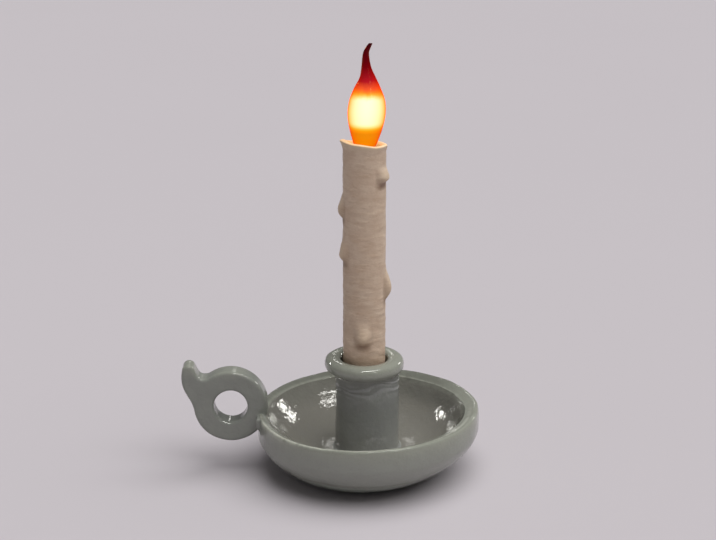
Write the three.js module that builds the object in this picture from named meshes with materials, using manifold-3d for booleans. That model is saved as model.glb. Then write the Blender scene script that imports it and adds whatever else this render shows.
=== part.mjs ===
// A chamberstick table lamp: a candle-shaped lamp that stands in a dish with a ring handle.
// Millimetres. The origin is where the candle's axis meets the table, +X points to the right,
// -Y to the viewer, +Z up, and the handle is at -X.
import * as THREE from 'three';
import { mergeVertices } from 'three/addons/utils/BufferGeometryUtils.js';
import Module from 'manifold-3d';

const wasm = await Module();
wasm.setup();

// Fits between pieces
const slip = 0.3;              // round a piece that slides into another
const snug = 0.2;              // round a piece that is pressed or glued into another

// Dish
const rimRadius = 106.5;       // outside of the dish at its widest
const rimHeight = 61;          // top of the rim above the table
const rimWidth = 12.4;         // from the outer edge to the inner lip
const rimCrest = 3;            // the rim is highest this far inside its outer edge
const lipDrop = 3.3;           // the rim falls this far from its crest to the inner lip
const lipRound = 0.8;           // the lip is rounded over this depth
const lipShift = -2.7;         // the lip lies this far to the left of the rim's middle
const bellyHeight = 42;        // where the wall is widest
const footRadius = 61;         // edge of the foot
const footSpread = 11;         // how flat the wall leaves the foot
const wallTurn = 25;           // height at which the wall turns upright
const bowlCurve = 2.4;         // 1 is a cone, and more is a flatter floor under a steeper wall
const footLift = 0.8;          // the foot's edge stays just off the table
const floorHeight = 22;        // top of the dish floor
const rimShift = 3.4;          // the hand-formed dish leans: its rim lies this far to the right,
const footShift = -3.6;        // and its foot this far to the left
const rimTilt = 2.5;           // rise of the rim on the right and its fall on the left
const dishWobble = 0.7;        // unevenness of the hand-formed wall

// Handle
const handleRadius = 35.4;     // outside of the ring
const fingerHoleRadius = 16;
const handleThickness = 20;
const handleEdge = 3.6;        // rounding of the ring's edges
const handleHeight = 65.4;       // centre of the ring above the table
const handleBite = 10.8;       // how deep the ring is let into the rim
const spurOverhang = 11.2;     // the spur's back beyond the ring
const spurStand = 6.2;         // the spur's tip above the ring
const spurTipRadius = 6;
const spurValley = 7.4;       // depth of the valley between spur and ring, below the ring's top

// Column with its collar
const columnRadius = 30.5;
const columnShift = 3;       // the column stands this far to the right of the candle
const collarWall = 15.3;       // from the collar's bore to its widest
const collarTop = 114;
const collarHeight = 16;
const collarGap = 2.3;         // round the candle sleeve
const socketDepth = 54;        // from the collar's top down to the ledge that carries the sleeve

// Candle sleeve
const sleeveWall = 3;
const sleeveHeight = 260;
const seatThickness = 2.5;
const seatSpigot = 7.5;        // height of the seat's spigot inside the sleeve
const rimFlare = 1;            // the melted rim stands out this far
const rimSlope = 3.2;          // it is this much higher in front on the left than the mean
const rimNotch = 2.4;          // and has run down this much at the back
const flareDepth = 6;          // and this far down

// Bulb: a bent-tip candle bulb on a small screw cap
const bulbSink = 5;            // the glass starts this far below the sleeve's rim
const bulbRadius = 17.4;
const flameHeight = 97;        // from the cap to the tip
const glassWall = 0.8;
const neckRadius = 7.8;
const capLength = 25;
const capWall = 0.5;
const threadPitch = 2.822;
const threadCrest = 6.945;     // radius over the thread
const threadRoot = 6.145;
const threadLength = 12.5;
const skirtLength = 5;
const tipContactRadius = 2.3;
const tipContactHeight = 1.3;
const insulatorHeight = 3.2;
const filamentRadius = 0.9;    // one of the four light-giving rods
const filamentLength = 28;
const filamentSpreadX = 9.5;   // half the distance between the left and right filaments
const filamentSpreadY = 4.5;   // half the distance between the front and back filaments
const filamentFoot = 20;       // lower end of the filaments above the cap
const frameWire = 0.45;        // radius of the wire that carries the filaments
const mountRod = 1.6;          // radius of the glass mount between the filaments

// Bulb holder
const holderRadius = 14;
const holderWall = 2.2;
const contactWall = 0.7;
const holderCupDepth = 14;
const holderFloor = 3;
const carrierFlange = 2;
const carrierHeight = 8;       // contact carrier above its flange
const carrierDrop = 5;         // contact carrier below its flange
const centringHeight = 5;
const centringWidth = 2.7;
const threadClearance = 0.4;   // between the cap's thread and the holder's
const terminalSpacing = 12;
const terminalRadius = 1.2;
const terminalHead = 1.6;      // height of a terminal screw's head

// Stem
const stemRadius = 5;
const stemBore = 3.6;
const nutAcrossFlats = 14;
const nutThickness = 3;
const washerRadius = 10;
const washerThickness = 1.5;
const stemEnd = 1.5;           // how far the stem shows past a nut

// Base
const padThickness = 1.6;
const padRadius = 48.5;
const coverThickness = 2.4;
const coverRadius = 49.6;
const cavityRadius = 45;
const cavityRoof = 16;
const bossRadius = 4.5;
const bossCircle = 40;         // radius of the circle that the cover screws lie on
const insertRadius = 2.3;
const insertLength = 6;
const screwRadius = 1.4;
const screwLength = 8;
const screwHead = 2.8;
const batteryLength = 40;
const batteryWidth = 26;
const batteryThickness = 7.5;
const batteryShift = 6;        // the battery lies this far to the right of the foot's middle
const foamThickness = 1;
const boardLength = 33;
const boardWidth = 19;
const boardThickness = 1.6;
const boardHeight = 10;        // underside of the control board above the table
const boardOffset = 11;        // near edge of the battery and the board from the stem
const pillarRadius = 3;
const pillarSpacing = 25;
const switchSize = 6.2;
const switchHeight = 3.2;
const plungerRadius = 1.6;
const buttonRadius = 5;
const buttonLift = 1;          // the button's face stays this far off the table
const buttonTravel = 0.8;
const buttonFlange = 1.3;

// Charging inlet in the back of the dish
const inletInset = 20.7;         // the bezel's face from the outside of the rim
const inletWidth = 14;
const inletHeight = 7;
const inletFloor = 13.6;       // bottom of the inlet above the table
const bezelThickness = 2.5;
const socketWidth = 8.9;
const socketThickness = 3.2;
const socketLength = 7.3;
const inletBoardLength = 16;
const inletBoardThickness = 1.6;
const channelRadius = 3;

// Wires
const wireRadius = 0.9;

// How finely round shapes are cut
const coarse = 10;
const medium = 18;
const fine = 32;
const dishSegments = 48;

// Heights and radii that follow from the sizes above
const ledgeHeight = collarTop - socketDepth;
const sleeveFoot = ledgeHeight + seatThickness;
const sleeveTop = sleeveFoot + sleeveHeight;
const sleeveBore = holderRadius + snug + centringWidth + snug;
const sleeveRadius = sleeveBore + sleeveWall;
const collarBore = sleeveRadius + collarGap;
const collarRadius = collarBore + collarWall;
const capTop = sleeveTop - bulbSink;
const capTip = capTop - capLength;
const insulatorFoot = capTip + tipContactHeight;
const threadFoot = insulatorFoot + insulatorHeight;
const threadTop = threadFoot + threadLength;
const skirtRadius = neckRadius + snug + capWall;
const threadMean = (threadCrest + threadRoot) / 2;
const threadDepth = (threadCrest - threadRoot) / 2;
const carrierTop = capTip - 1.5;
const carrierFoot = carrierTop - carrierHeight - carrierFlange;
const cupFoot = carrierFoot - holderCupDepth - holderFloor;
const holderTop = threadTop + 0.6;
const coverFoot = padThickness;
const coverTop = coverFoot + coverThickness;
const stemFoot = cavityRoof - washerThickness - nutThickness - stemEnd;
const stemTop = cupFoot + holderFloor + stemEnd;
const handleCentre = rimShift - rimRadius - handleRadius + handleBite;
const lipRadius = rimRadius - rimWidth;
const boardCentreY = boardOffset + boardWidth / 2;
const inletDepth = rimRadius - inletInset;

// Colours and finishes
function finish(color, roughness, metalness = 0) {
  return () => new THREE.MeshStandardMaterial({ color, roughness, metalness });
}
const glaze = finish(0x6f716a, 0.18);
const wax = finish(0xcdb497, 0.62);
const amberGlass = finish(0xd8401c, 0.08);
const glow = finish(0xfff0c0, 0.5);
const steel = finish(0xa8aaac, 0.35, 1);
const brass = finish(0xc29a4b, 0.3, 1);
const blackPlastic = finish(0x1d1d1f, 0.5);
const greyPlastic = finish(0x6a6c6e, 0.55);
const ceramic = finish(0xe6e3da, 0.4);
const clearGlass = finish(0xdfe8ea, 0.05);
const rubber = finish(0x2a2a2a, 0.9);
const foil = finish(0xb9bcc0, 0.4, 0.6);
const boardGreen = finish(0x1f5a36, 0.5);
const foam = finish(0x3b3b3d, 0.95);
const redWire = finish(0x9c2020, 0.5);
const blackWire = finish(0x202020, 0.5);

// Helpers for closed solids

const clamp = THREE.MathUtils.clamp;
const smoothstep = THREE.MathUtils.smoothstep;
const radians = THREE.MathUtils.degToRad;

function signedVolume(position, index) {
  const a = new THREE.Vector3();
  const b = new THREE.Vector3();
  const c = new THREE.Vector3();
  let sum = 0;
  for (let i = 0; i < index.length; i += 3) {
    a.fromBufferAttribute(position, index[i]);
    b.fromBufferAttribute(position, index[i + 1]);
    c.fromBufferAttribute(position, index[i + 2]);
    sum += a.dot(b.cross(c));
  }
  return sum / 6;
}

// One closed body: shared corners merged, empty triangles dropped, faces turned outwards.
function closed(source) {
  const bare = new THREE.BufferGeometry();
  bare.setAttribute('position', source.getAttribute('position').clone());
  if (source.index) bare.setIndex(source.index.clone());
  const merged = mergeVertices(bare);
  const old = merged.index.array;
  const index = [];
  for (let i = 0; i < old.length; i += 3) {
    const [p, q, r] = [old[i], old[i + 1], old[i + 2]];
    if (p !== q && q !== r && r !== p) index.push(p, q, r);
  }
  if (signedVolume(merged.getAttribute('position'), index) < 0) index.reverse();
  const geometry = new THREE.BufferGeometry();
  geometry.setAttribute('position', merged.getAttribute('position'));
  geometry.setIndex(index);
  geometry.computeVertexNormals();
  return geometry;
}

function solidOf(geometry) {
  return new wasm.Manifold(new wasm.Mesh({
    numProp: 3,
    vertProperties: new Float32Array(geometry.getAttribute('position').array),
    triVerts: new Uint32Array(geometry.index.array),
  }));
}

function geometryOf(solid) {
  const mesh = solid.getMesh();
  const geometry = new THREE.BufferGeometry();
  geometry.setAttribute('position', new THREE.BufferAttribute(mesh.vertProperties, 3));
  geometry.setIndex(new THREE.BufferAttribute(mesh.triVerts, 1));
  return closed(geometry);
}

const cut = (body, ...tools) => geometryOf(
  tools.reduce((solid, tool) => solid.subtract(solidOf(tool)), solidOf(body)));

const joined = (...bodies) => geometryOf(
  bodies.map(solidOf).reduce((all, solid) => all.add(solid)));

const moved = (geometry, x, y, z) => geometry.clone().translate(x, y, z);

// A shape turned about +Z from a list of [radius, height].
function turned(profile, segments = medium) {
  const points = profile.map(([radius, height]) => new THREE.Vector2(radius, height));
  return closed(new THREE.LatheGeometry(points, segments).rotateX(Math.PI / 2));
}

const disc = (radius, low, high, segments = medium) => turned(
  [[0, low], [radius, low], [radius, high], [0, high]], segments);

const tube = (bore, radius, low, high, segments = medium) => turned(
  [[bore, low], [radius, low], [radius, high], [bore, high], [bore, low]], segments);

// A box centred on X and Y that stands on the height low.
const block = (width, depth, low, high) => closed(
  new THREE.BoxGeometry(width, depth, high - low).translate(0, 0, (low + high) / 2));

// Points of a cubic curve, without its first one.
function curve(from, near, far, to, steps) {
  const points = new THREE.CubicBezierCurve(
    new THREE.Vector2(...from), new THREE.Vector2(...near),
    new THREE.Vector2(...far), new THREE.Vector2(...to)).getPoints(steps);
  return points.slice(1).map((point) => [point.x, point.y]);
}

// A skin through rings of points. It closes on itself as a loop, or is capped at both ends.
function loft(rings, loop) {
  const count = rings[0].length;
  const positions = rings.flat().flatMap((point) => [point.x, point.y, point.z]);
  const index = [];
  const spans = loop ? rings.length : rings.length - 1;
  for (let i = 0; i < spans; i += 1) {
    const low = i * count;
    const high = ((i + 1) % rings.length) * count;
    for (let j = 0; j < count; j += 1) {
      const k = (j + 1) % count;
      index.push(low + j, low + k, high + k, low + j, high + k, high + j);
    }
  }
  if (!loop) {
    for (const [ring, turn] of [[0, true], [rings.length - 1, false]]) {
      const centre = new THREE.Vector3();
      rings[ring].forEach((point) => centre.addScaledVector(point, 1 / count));
      const hub = positions.length / 3;
      positions.push(centre.x, centre.y, centre.z);
      for (let j = 0; j < count; j += 1) {
        const [p, q] = [ring * count + j, ring * count + ((j + 1) % count)];
        index.push(hub, ...(turn ? [q, p] : [p, q]));
      }
    }
  }
  const geometry = new THREE.BufferGeometry();
  geometry.setAttribute('position', new THREE.Float32BufferAttribute(positions, 3));
  geometry.setIndex(index);
  return closed(geometry);
}

// A ring of points round (x, 0) whose radius and height may change with the angle.
function ringOf(segments, radiusAt, heightAt, x = 0) {
  return Array.from({ length: segments }, (_, i) => {
    const angle = (i / segments) * Math.PI * 2;
    const radius = radiusAt(angle);
    return new THREE.Vector3(x + radius * Math.cos(angle), radius * Math.sin(angle), heightAt(angle));
  });
}
const plainRing = (segments, radius, height, x = 0) => ringOf(segments, () => radius, () => height, x);

// A round bar between two points.
function bar(from, to, radius, sides = 8) {
  const start = new THREE.Vector3(...from);
  const end = new THREE.Vector3(...to);
  const geometry = new THREE.CylinderGeometry(radius, radius, start.distanceTo(end), sides);
  geometry.rotateX(Math.PI / 2).translate(0, 0, start.distanceTo(end) / 2);
  const turn = new THREE.Quaternion().setFromUnitVectors(
    new THREE.Vector3(0, 0, 1), end.clone().sub(start).normalize());
  return closed(geometry.applyQuaternion(turn).translate(start.x, start.y, start.z));
}

// A wire through points: rings square to its path, carried along without twisting.
function wire(points, stepsBetween = 3, radius = wireRadius, sides = 6) {
  const path = new THREE.CatmullRomCurve3(
    points.map((point) => new THREE.Vector3(...point)), false, 'centripetal');
  const steps = stepsBetween * (points.length - 1);
  const across = new THREE.Vector3(0.3, 0.2, 0.9);
  const rings = [];
  for (let i = 0; i <= steps; i += 1) {
    const middle = path.getPoint(i / steps);
    const along = path.getTangent(i / steps);
    across.addScaledVector(along, -across.dot(along)).normalize();
    const side = new THREE.Vector3().crossVectors(along, across);
    rings.push(Array.from({ length: sides }, (_, j) => {
      const angle = (j / sides) * Math.PI * 2;
      return middle.clone().addScaledVector(across, radius * Math.cos(angle))
        .addScaledVector(side, radius * Math.sin(angle));
    }));
  }
  return loft(rings, false);
}

// Dish

const dishLean = (z) => footShift + (rimShift - footShift) * clamp(z / bellyHeight, 0, 1);

// The flat floor reaches just past the foot of the column.
const floorRadius = columnRadius + columnShift + Math.abs(dishLean(floorHeight)) + 0.6;

function dishProfile() {
  const lipHeight = rimHeight - lipDrop;
  const outside = [
    [footRadius, footLift],
    ...curve([footRadius, footLift], [footRadius + footSpread, footLift + 1.4], [rimRadius, wallTurn],
      [rimRadius, bellyHeight], 8),
    ...curve([rimRadius, bellyHeight], [rimRadius, rimHeight - 2.5], [rimRadius - 0.8, rimHeight],
      [rimRadius - rimCrest, rimHeight], 4),
  ];
  const rim = [
    ...curve([rimRadius - rimCrest, rimHeight], [rimRadius - 2 * rimCrest, rimHeight],
      [lipRadius + rimCrest, lipHeight + lipRound], [lipRadius + lipRound, lipHeight], 3),
    [lipRadius, lipHeight - lipRound],
  ];
  const bowl = [];
  const steps = 6;
  for (let i = 1; i <= steps; i += 1) {
    const share = 1 - i / steps;
    bowl.push([
      floorRadius + (lipRadius - floorRadius) * share,
      floorHeight + (lipHeight - lipRound - floorHeight) * share ** bowlCurve,
    ]);
  }
  return [[0, footLift], ...outside, ...rim, ...bowl, [0, floorHeight]];
}

// The hand-formed dish leans, tilts and is slightly uneven above its foot and floor.
function unevenDish(geometry) {
  const position = geometry.getAttribute('position');
  for (let i = 0; i < position.count; i += 1) {
    const [x, y, z] = [position.getX(i), position.getY(i), position.getZ(i)];
    const angle = Math.atan2(y, x);
    const above = clamp((z - floorHeight) / (rimHeight - floorHeight), 0, 1);
    const swell = smoothstep(z, footLift + 4, bellyHeight)
      * dishWobble * (0.7 * Math.sin(3 * angle + 0.8) + 0.4 * Math.sin(5 * angle + 2.1));
    const inwards = clamp((rimRadius - rimCrest - Math.hypot(x, y)) / (rimWidth - rimCrest), 0, 1);
    const lipMove = lipShift * inwards * above ** 2;
    position.setX(i, x + dishLean(z) + lipMove + swell * Math.cos(angle));
    position.setY(i, y + swell * Math.sin(angle));
    const wave = dishWobble * 0.7 * Math.sin(4 * angle + 1) * (Math.hypot(x, y) / rimRadius);
    position.setZ(i, z + above * (rimTilt * (x / rimRadius) + wave));
  }
  return geometry;
}

// Places of the three cover screws, round the foot's centre.
const screwPlaces = [0, 120, 240].map((degrees) => [
  footShift + bossCircle * Math.cos(radians(degrees)),
  bossCircle * Math.sin(radians(degrees)),
]);
const pillarPlaces = [-1, 1].map((side) => [footShift + (side * pillarSpacing) / 2, boardCentreY]);

function cavity() {
  const room = turned([
    [0, -1], [coverRadius + slip, -1], [coverRadius + slip, coverTop], [cavityRadius, coverTop],
    [cavityRadius, cavityRoof], [0, cavityRoof],
  ], fine).translate(footShift, 0, 0);
  const bosses = screwPlaces.map(([x, y]) => moved(
    disc(bossRadius, coverTop, cavityRoof + 1, coarse), x, y, 0));
  const boardTop = boardHeight + boardThickness;
  const pillars = pillarPlaces.map(([x, y]) => moved(
    disc(pillarRadius, boardTop, cavityRoof + 1, coarse), x, y, 0));
  return cut(room, ...bosses, ...pillars);
}

const inletBack = inletDepth - bezelThickness - inletBoardLength - 2;

function dish() {
  const body = unevenDish(turned(dishProfile(), dishSegments));
  const stemHole = disc(stemRadius + slip, cavityRoof - 1, floorHeight + 1);
  const insertHoles = screwPlaces.map(([x, y]) => moved(
    disc(insertRadius + snug, coverTop - 1, coverTop + insertLength + 3, coarse), x, y, 0));
  const boardHoles = pillarPlaces.map(([x, y]) => moved(
    disc(screwRadius + snug, boardHeight, boardHeight + boardThickness + 4, coarse), x, y, 0));
  const inlet = block(inletWidth, rimRadius, inletFloor, inletFloor + inletHeight);
  inlet.translate(0, inletBack + rimRadius / 2, 0);
  const channel = bar([0, cavityRadius - 4, (coverTop + cavityRoof) / 2],
    [0, inletBack + 3, inletFloor + inletHeight / 2], channelRadius, 12);
  const notch = handlePlate(handleThickness + 2 * slip, slip, 0);
  return cut(body, cavity(), stemHole, ...insertHoles, ...boardHoles, inlet, channel, notch);
}

// Handle: a flat ring with a thumb spur, upright beside the dish

// Points of an arc from one angle to another, in radians.
function arc(x, z, radius, from, to, steps) {
  return Array.from({ length: steps + 1 }, (_, i) => {
    const angle = from + ((to - from) * i) / steps;
    return [x + radius * Math.cos(angle), z + radius * Math.sin(angle)];
  });
}

function handleOutline(grow) {
  const radius = handleRadius + grow;
  const tipX = -(handleRadius + spurOverhang) + spurTipRadius + 0.8;
  const tipZ = handleRadius + spurStand - spurTipRadius;
  const valley = handleRadius - spurValley;
  const tip = arc(tipX, tipZ, spurTipRadius, radians(170), radians(25), 6);
  const ring = arc(0, 0, radius, radians(125), radians(-171), 26);
  const [ringX, ringZ] = ring[0];
  const [backX, backZ] = ring[ring.length - 1];
  const [sideX, sideZ] = tip[tip.length - 1];
  const points = [
    ...curve([backX, backZ], [backX - 1.4, 10], [tipX - spurTipRadius - 4, 14], tip[0], 8),
    ...tip.slice(1),
    ...curve([sideX, sideZ], [sideX + 1.8, sideZ - 3.9], [ringX - 10, valley], [ringX - 6, valley], 5),
    ...curve([ringX - 6, valley], [ringX - 4, valley], [ringX - 2, ringZ - 1.2], [ringX, ringZ], 3),
    ...ring.slice(1),
  ];
  return new THREE.Shape(points.map(([x, z]) => new THREE.Vector2(x, z)));
}

function handlePlate(thickness, grow, edge) {
  const outline = handleOutline(grow);
  if (edge > 0) {
    const hole = plainRing(28, fingerHoleRadius, 0).map((point) => new THREE.Vector2(point.x, point.y));
    outline.holes.push(new THREE.Path(hole));
  }
  const plate = new THREE.ExtrudeGeometry(outline, {
    depth: thickness - 2 * edge,
    bevelEnabled: edge > 0,
    bevelThickness: edge,
    bevelSize: edge,
    bevelOffset: -edge,
    bevelSegments: 2,
  });
  plate.translate(0, 0, edge - thickness / 2).rotateX(Math.PI / 2);
  return closed(plate.translate(handleCentre, 0, handleHeight));
}

// Column with its collar

function socketColumn() {
  const collarFoot = collarTop - collarHeight;
  const widest = collarTop - 7.5;
  const profile = [
    [0, floorHeight], [columnRadius, floorHeight],
    [columnRadius, (floorHeight + collarFoot) / 2], [columnRadius, collarFoot - 8],
    ...curve([columnRadius, collarFoot - 8], [columnRadius, collarFoot - 2], [columnRadius + 1, collarFoot],
      [columnRadius + 2.5, collarFoot + 1.6], 3),
    ...curve([columnRadius + 2.5, collarFoot + 1.6], [collarRadius - 2, collarFoot + 4],
      [collarRadius, widest - 4], [collarRadius, widest], 4),
    ...curve([collarRadius, widest], [collarRadius, collarTop - 2], [collarRadius - 3, collarTop],
      [collarRadius - 8, collarTop], 4),
    ...curve([collarRadius - 8, collarTop], [collarBore + 3, collarTop], [collarBore + 1, collarTop - 0.6],
      [collarBore, collarTop - 2.6], 2),
    [collarBore, ledgeHeight], [0, ledgeHeight],
  ];
  const body = turned(profile, fine);
  const position = body.getAttribute('position');
  for (let i = 0; i < position.count; i += 1) {
    const [x, y, z] = [position.getX(i), position.getY(i), position.getZ(i)];
    const outside = Math.hypot(x, y) > collarBore + 0.01 || z <= floorHeight;
    const share = 1 - smoothstep(z, collarFoot - 6, widest);
    if (outside) position.setX(i, x + columnShift * share);
  }
  return cut(body, disc(stemRadius + slip, floorHeight - 1, ledgeHeight + 1));
}

// Candle sleeve with its drips and melted rim

// Each drip: the side it runs down in degrees (0 right, -90 front, 180 left), its upper and lower
// end above the table, how far it stands out, and half its width in degrees.
const drips = [
  { side: -28, top: 304, foot: 287, bulge: 5.2, spread: 30 },
  { side: 184, top: 277, foot: 251, bulge: 4.7, spread: 22 },
  { side: 198, top: 234, foot: 210, bulge: 4.2, spread: 26 },
  { side: -4, top: 205, foot: 172, bulge: 5.5, spread: 24 },
  { side: -91, top: 152, foot: 128, bulge: 4.6, spread: 27 },
];

function dripBulge(angle, z) {
  let sum = 0;
  for (const { side, top, foot, bulge, spread } of drips) {
    const along = (z - foot) / (top - foot);
    const turn = THREE.MathUtils.euclideanModulo(angle - radians(side) + Math.PI, 2 * Math.PI) - Math.PI;
    const across = Math.abs(turn) / radians(spread);
    if (along > 0 && along < 1 && across < 1) {
      const peak = 0.3;
      const run = along < peak
        ? Math.sin((along / peak) * (Math.PI / 2))
        : Math.cos(((along - peak) / (1 - peak)) * (Math.PI / 2)) ** 1.5;
      sum += bulge * run * Math.cos(across * (Math.PI / 2)) ** 1.3;
    }
  }
  return sum;
}

const meltedRim = (angle) => sleeveTop + 0.8 + rimSlope * Math.cos(angle - radians(220))
  - rimNotch * Math.max(0, Math.cos(angle - radians(125))) ** 4
  + 0.6 * Math.cos(2 * angle) + 0.3 * Math.cos(5 * angle + 2);

function candleSleeve() {
  const rings = [];
  const plain = (z) => rings.push(ringOf(fine, (angle) => sleeveRadius + dripBulge(angle, z), () => z));
  rings.push(plainRing(fine, sleeveRadius, sleeveFoot));
  const lowestDrip = Math.min(...drips.map((drip) => drip.foot));
  const flareFoot = sleeveTop - flareDepth - 3;
  const steps = Math.round((flareFoot - lowestDrip) / 4.8);
  for (let i = 0; i <= steps; i += 1) plain(lowestDrip + ((flareFoot - lowestDrip) * i) / steps);
  const corner = (angle) => 1 + 1.6 * Math.max(0, Math.cos(angle - radians(175))) ** 6;
  for (const [drop, out] of [[4.5, 0.5], [2.2, 1], [0.8, 0.9], [0, 0.1]]) {
    rings.push(ringOf(fine, (angle) => sleeveRadius + rimFlare * out * corner(angle),
      (angle) => meltedRim(angle) - drop));
  }
  const innerEdge = sleeveRadius - sleeveWall * 0.6;
  rings.push(ringOf(fine, () => innerEdge, (angle) => meltedRim(angle) - 0.5));
  rings.push(ringOf(fine, () => sleeveBore, (angle) => meltedRim(angle) - 3));
  rings.push(plainRing(fine, sleeveBore, sleeveFoot));
  return loft(rings, true);
}

// The seat carries the sleeve on the ledge inside the column and centres it.
function sleeveSeat() {
  return turned([
    [stemRadius + slip, ledgeHeight], [collarBore - slip, ledgeHeight], [collarBore - slip, sleeveFoot],
    [sleeveBore - slip, sleeveFoot], [sleeveBore - slip, sleeveFoot + seatSpigot],
    [sleeveBore - 4, sleeveFoot + seatSpigot], [sleeveBore - 4, sleeveFoot],
    [stemRadius + slip, sleeveFoot], [stemRadius + slip, ledgeHeight],
  ]);
}

// Stem

function hexNut(low) {
  const corner = nutAcrossFlats / 2 / Math.cos(Math.PI / 6);
  return cut(disc(corner, low, low + nutThickness, 6),
    disc(stemRadius + snug, low - 1, low + nutThickness + 1, medium));
}

// Bulb

// Stations of the flame glass from the cap to the tip: share of the flame's height, radius as a
// share of the bulb's radius, and how far the middle swings to the right in millimetres.
const flameStations = [
  [0.035, 0.595, 0.6], [0.19, 0.868, 1.3], [0.335, 1, 1.9], [0.465, 0.93, 2.4], [0.58, 0.695, 2.6],
  [0.68, 0.425, 2.9], [0.778, 0.259, 1.6], [0.9, 0.15, 1.2], [0.955, 0.12, 2.9], [1, 0.075, 5.7],
];

const flameCurve = new THREE.CatmullRomCurve3([
  new THREE.Vector3(0, neckRadius, 0),
  ...flameStations.map(([height, radius, swing]) => new THREE.Vector3(
    height * flameHeight, radius * bulbRadius, swing)),
], false, 'catmullrom', 0.4);

// Height above the cap, radius and swing at a share of the way from the cap to the tip.
const flameAt = (share) => flameCurve.getPoint(share);

function flameGlass() {
  const sides = 20;
  const neckFoot = capTop - skirtLength + 1;
  const outerSteps = 22;
  const innerSteps = 12;
  const innerEnd = 0.76;
  const rings = [];
  const skin = (share, wall) => {
    const point = flameAt(share);
    rings.push(plainRing(sides, point.y - wall, capTop + point.x, point.z));
  };
  for (let i = innerSteps; i >= 0; i -= 1) skin((i / innerSteps) * innerEnd, glassWall);
  rings.push(plainRing(sides, neckRadius - glassWall, neckFoot));
  rings.push(plainRing(sides, neckRadius, neckFoot));
  for (let i = 0; i <= outerSteps; i += 1) skin(i / outerSteps, 0);
  return loft(rings, false);
}

// Rings of a screw thread between two heights; the thread may fade out at both ends.
function threadRings(sides, low, high, mean, depth, fadeLength = 1.5) {
  const steps = Math.ceil((high - low) / (threadPitch / 4));
  return Array.from({ length: steps + 1 }, (_, i) => {
    const z = low + ((high - low) * i) / steps;
    const fade = fadeLength > 0 ? clamp(Math.min(z - low, high - z) / fadeLength, 0, 1) : 1;
    return ringOf(sides,
      (angle) => mean + depth * fade * Math.cos((2 * Math.PI * z) / threadPitch - angle), () => z);
  });
}

function bulbCap() {
  const bore = threadRoot - capWall;
  const skirtFoot = capTop - skirtLength;
  return loft([
    plainRing(medium, bore, threadFoot),
    ...threadRings(medium, threadFoot, threadTop, threadMean, threadDepth),
    plainRing(medium, skirtRadius, skirtFoot - 0.8),
    plainRing(medium, skirtRadius, capTop),
    plainRing(medium, skirtRadius - capWall, capTop),
    plainRing(medium, skirtRadius - capWall, skirtFoot),
    plainRing(medium, bore, threadTop),
  ], true);
}

function bulbInsulator() {
  const top = threadFoot + 2;
  const bore = threadRoot - capWall - snug;
  return turned([
    [0, insulatorFoot], [tipContactRadius + 1, insulatorFoot], [threadRoot - 0.4, threadFoot - snug],
    [bore, threadFoot - snug], [bore, top], [0, top],
  ]);
}

const bulbTipContact = () => turned([
  [0, capTip], [tipContactRadius * 0.6, capTip + 0.15], [tipContactRadius, capTip + 0.7],
  [tipContactRadius, insulatorFoot], [0, insulatorFoot],
], 18);

const filamentLow = capTop + filamentFoot;
const filamentHigh = filamentLow + filamentLength;
const filamentCentre = flameAt(0.37).z;
const filamentPlaces = [[-1, -1], [1, -1], [1, 1], [-1, 1]].map(([sideX, sideY]) => [
  filamentCentre + sideX * filamentSpreadX, sideY * filamentSpreadY,
]);

// The glass mount: a flare in the neck that narrows to a rod between the filaments.
function bulbMount() {
  const flare = neckRadius - glassWall - snug;
  const foot = capTop - 2;
  const upright = turned([
    [0, foot], [flare, foot], [flare, foot + 1.5], [flare * 0.55, foot + 5], [mountRod * 1.3, foot + 11],
    [mountRod, filamentLow - 4], [mountRod, filamentHigh + 3], [0, filamentHigh + 3.6],
  ], 16);
  const position = upright.getAttribute('position');
  for (let i = 0; i < position.count; i += 1) {
    const share = smoothstep(position.getZ(i), foot + 5, filamentLow - 4);
    position.setX(i, position.getX(i) + filamentCentre * share);
  }
  return upright;
}

const filament = () => turned([
  [0, filamentLow], [filamentRadius * 0.6, filamentLow], [filamentRadius, filamentLow + 0.8],
  [filamentRadius, filamentHigh - 0.8], [filamentRadius * 0.6, filamentHigh], [0, filamentHigh],
], 10);

// A wire cross that carries the four filament ends, with an eye round the glass rod.
function filamentFrame(z) {
  const ring = tube(mountRod + snug, mountRod + 1.2, z - frameWire, z + frameWire, 12);
  const eye = moved(ring, filamentCentre, 0, 0);
  const arms = filamentPlaces.map(([x, y]) => {
    const reach = Math.hypot(x - filamentCentre, y);
    const near = (mountRod + 0.8) / reach;
    const start = [filamentCentre + (x - filamentCentre) * near, y * near, z];
    return bar(start, [x, y, z], frameWire, 6);
  });
  return joined(eye, ...arms);
}

function bulbDriver() {
  const low = threadFoot + 2;
  const plate = block(8, 1.2, low, low + 11);
  const chip = moved(block(4.4, 1.9, low + 2.5, low + 7), 0, -1.5, 0);
  return joined(plate, chip);
}

// Bulb holder

function holderThread() {
  const bore = threadMean + threadClearance;
  const outside = threadCrest + threadClearance + contactWall;
  const low = carrierTop;
  const top = holderTop - 2.2 - snug;
  return loft([
    plainRing(medium, outside + 1.2, low),
    plainRing(medium, outside + 1.2, low + contactWall),
    plainRing(medium, outside, low + contactWall),
    plainRing(medium, outside, top),
    ...threadRings(medium, low, top, bore, threadDepth, 0).reverse(),
  ], true);
}

function holderShell() {
  const bore = holderRadius - holderWall;
  const shoulder = holderRadius + 1.2;
  const ledge = centringFoot;
  const mouth = threadCrest + threadClearance + contactWall + 0.4;
  return turned([
    [bore, carrierFoot + carrierFlange], [holderRadius, carrierFoot + carrierFlange],
    [holderRadius, ledge - 2.5], [shoulder, ledge - 2], [shoulder, ledge], [holderRadius, ledge],
    [holderRadius, holderTop - 1], [holderRadius - 1, holderTop], [mouth, holderTop],
    [mouth, holderTop - 2], [bore, holderTop - 2], [bore, carrierFoot + carrierFlange],
  ]);
}

const centringFoot = holderTop - 4 - centringHeight;

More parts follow.
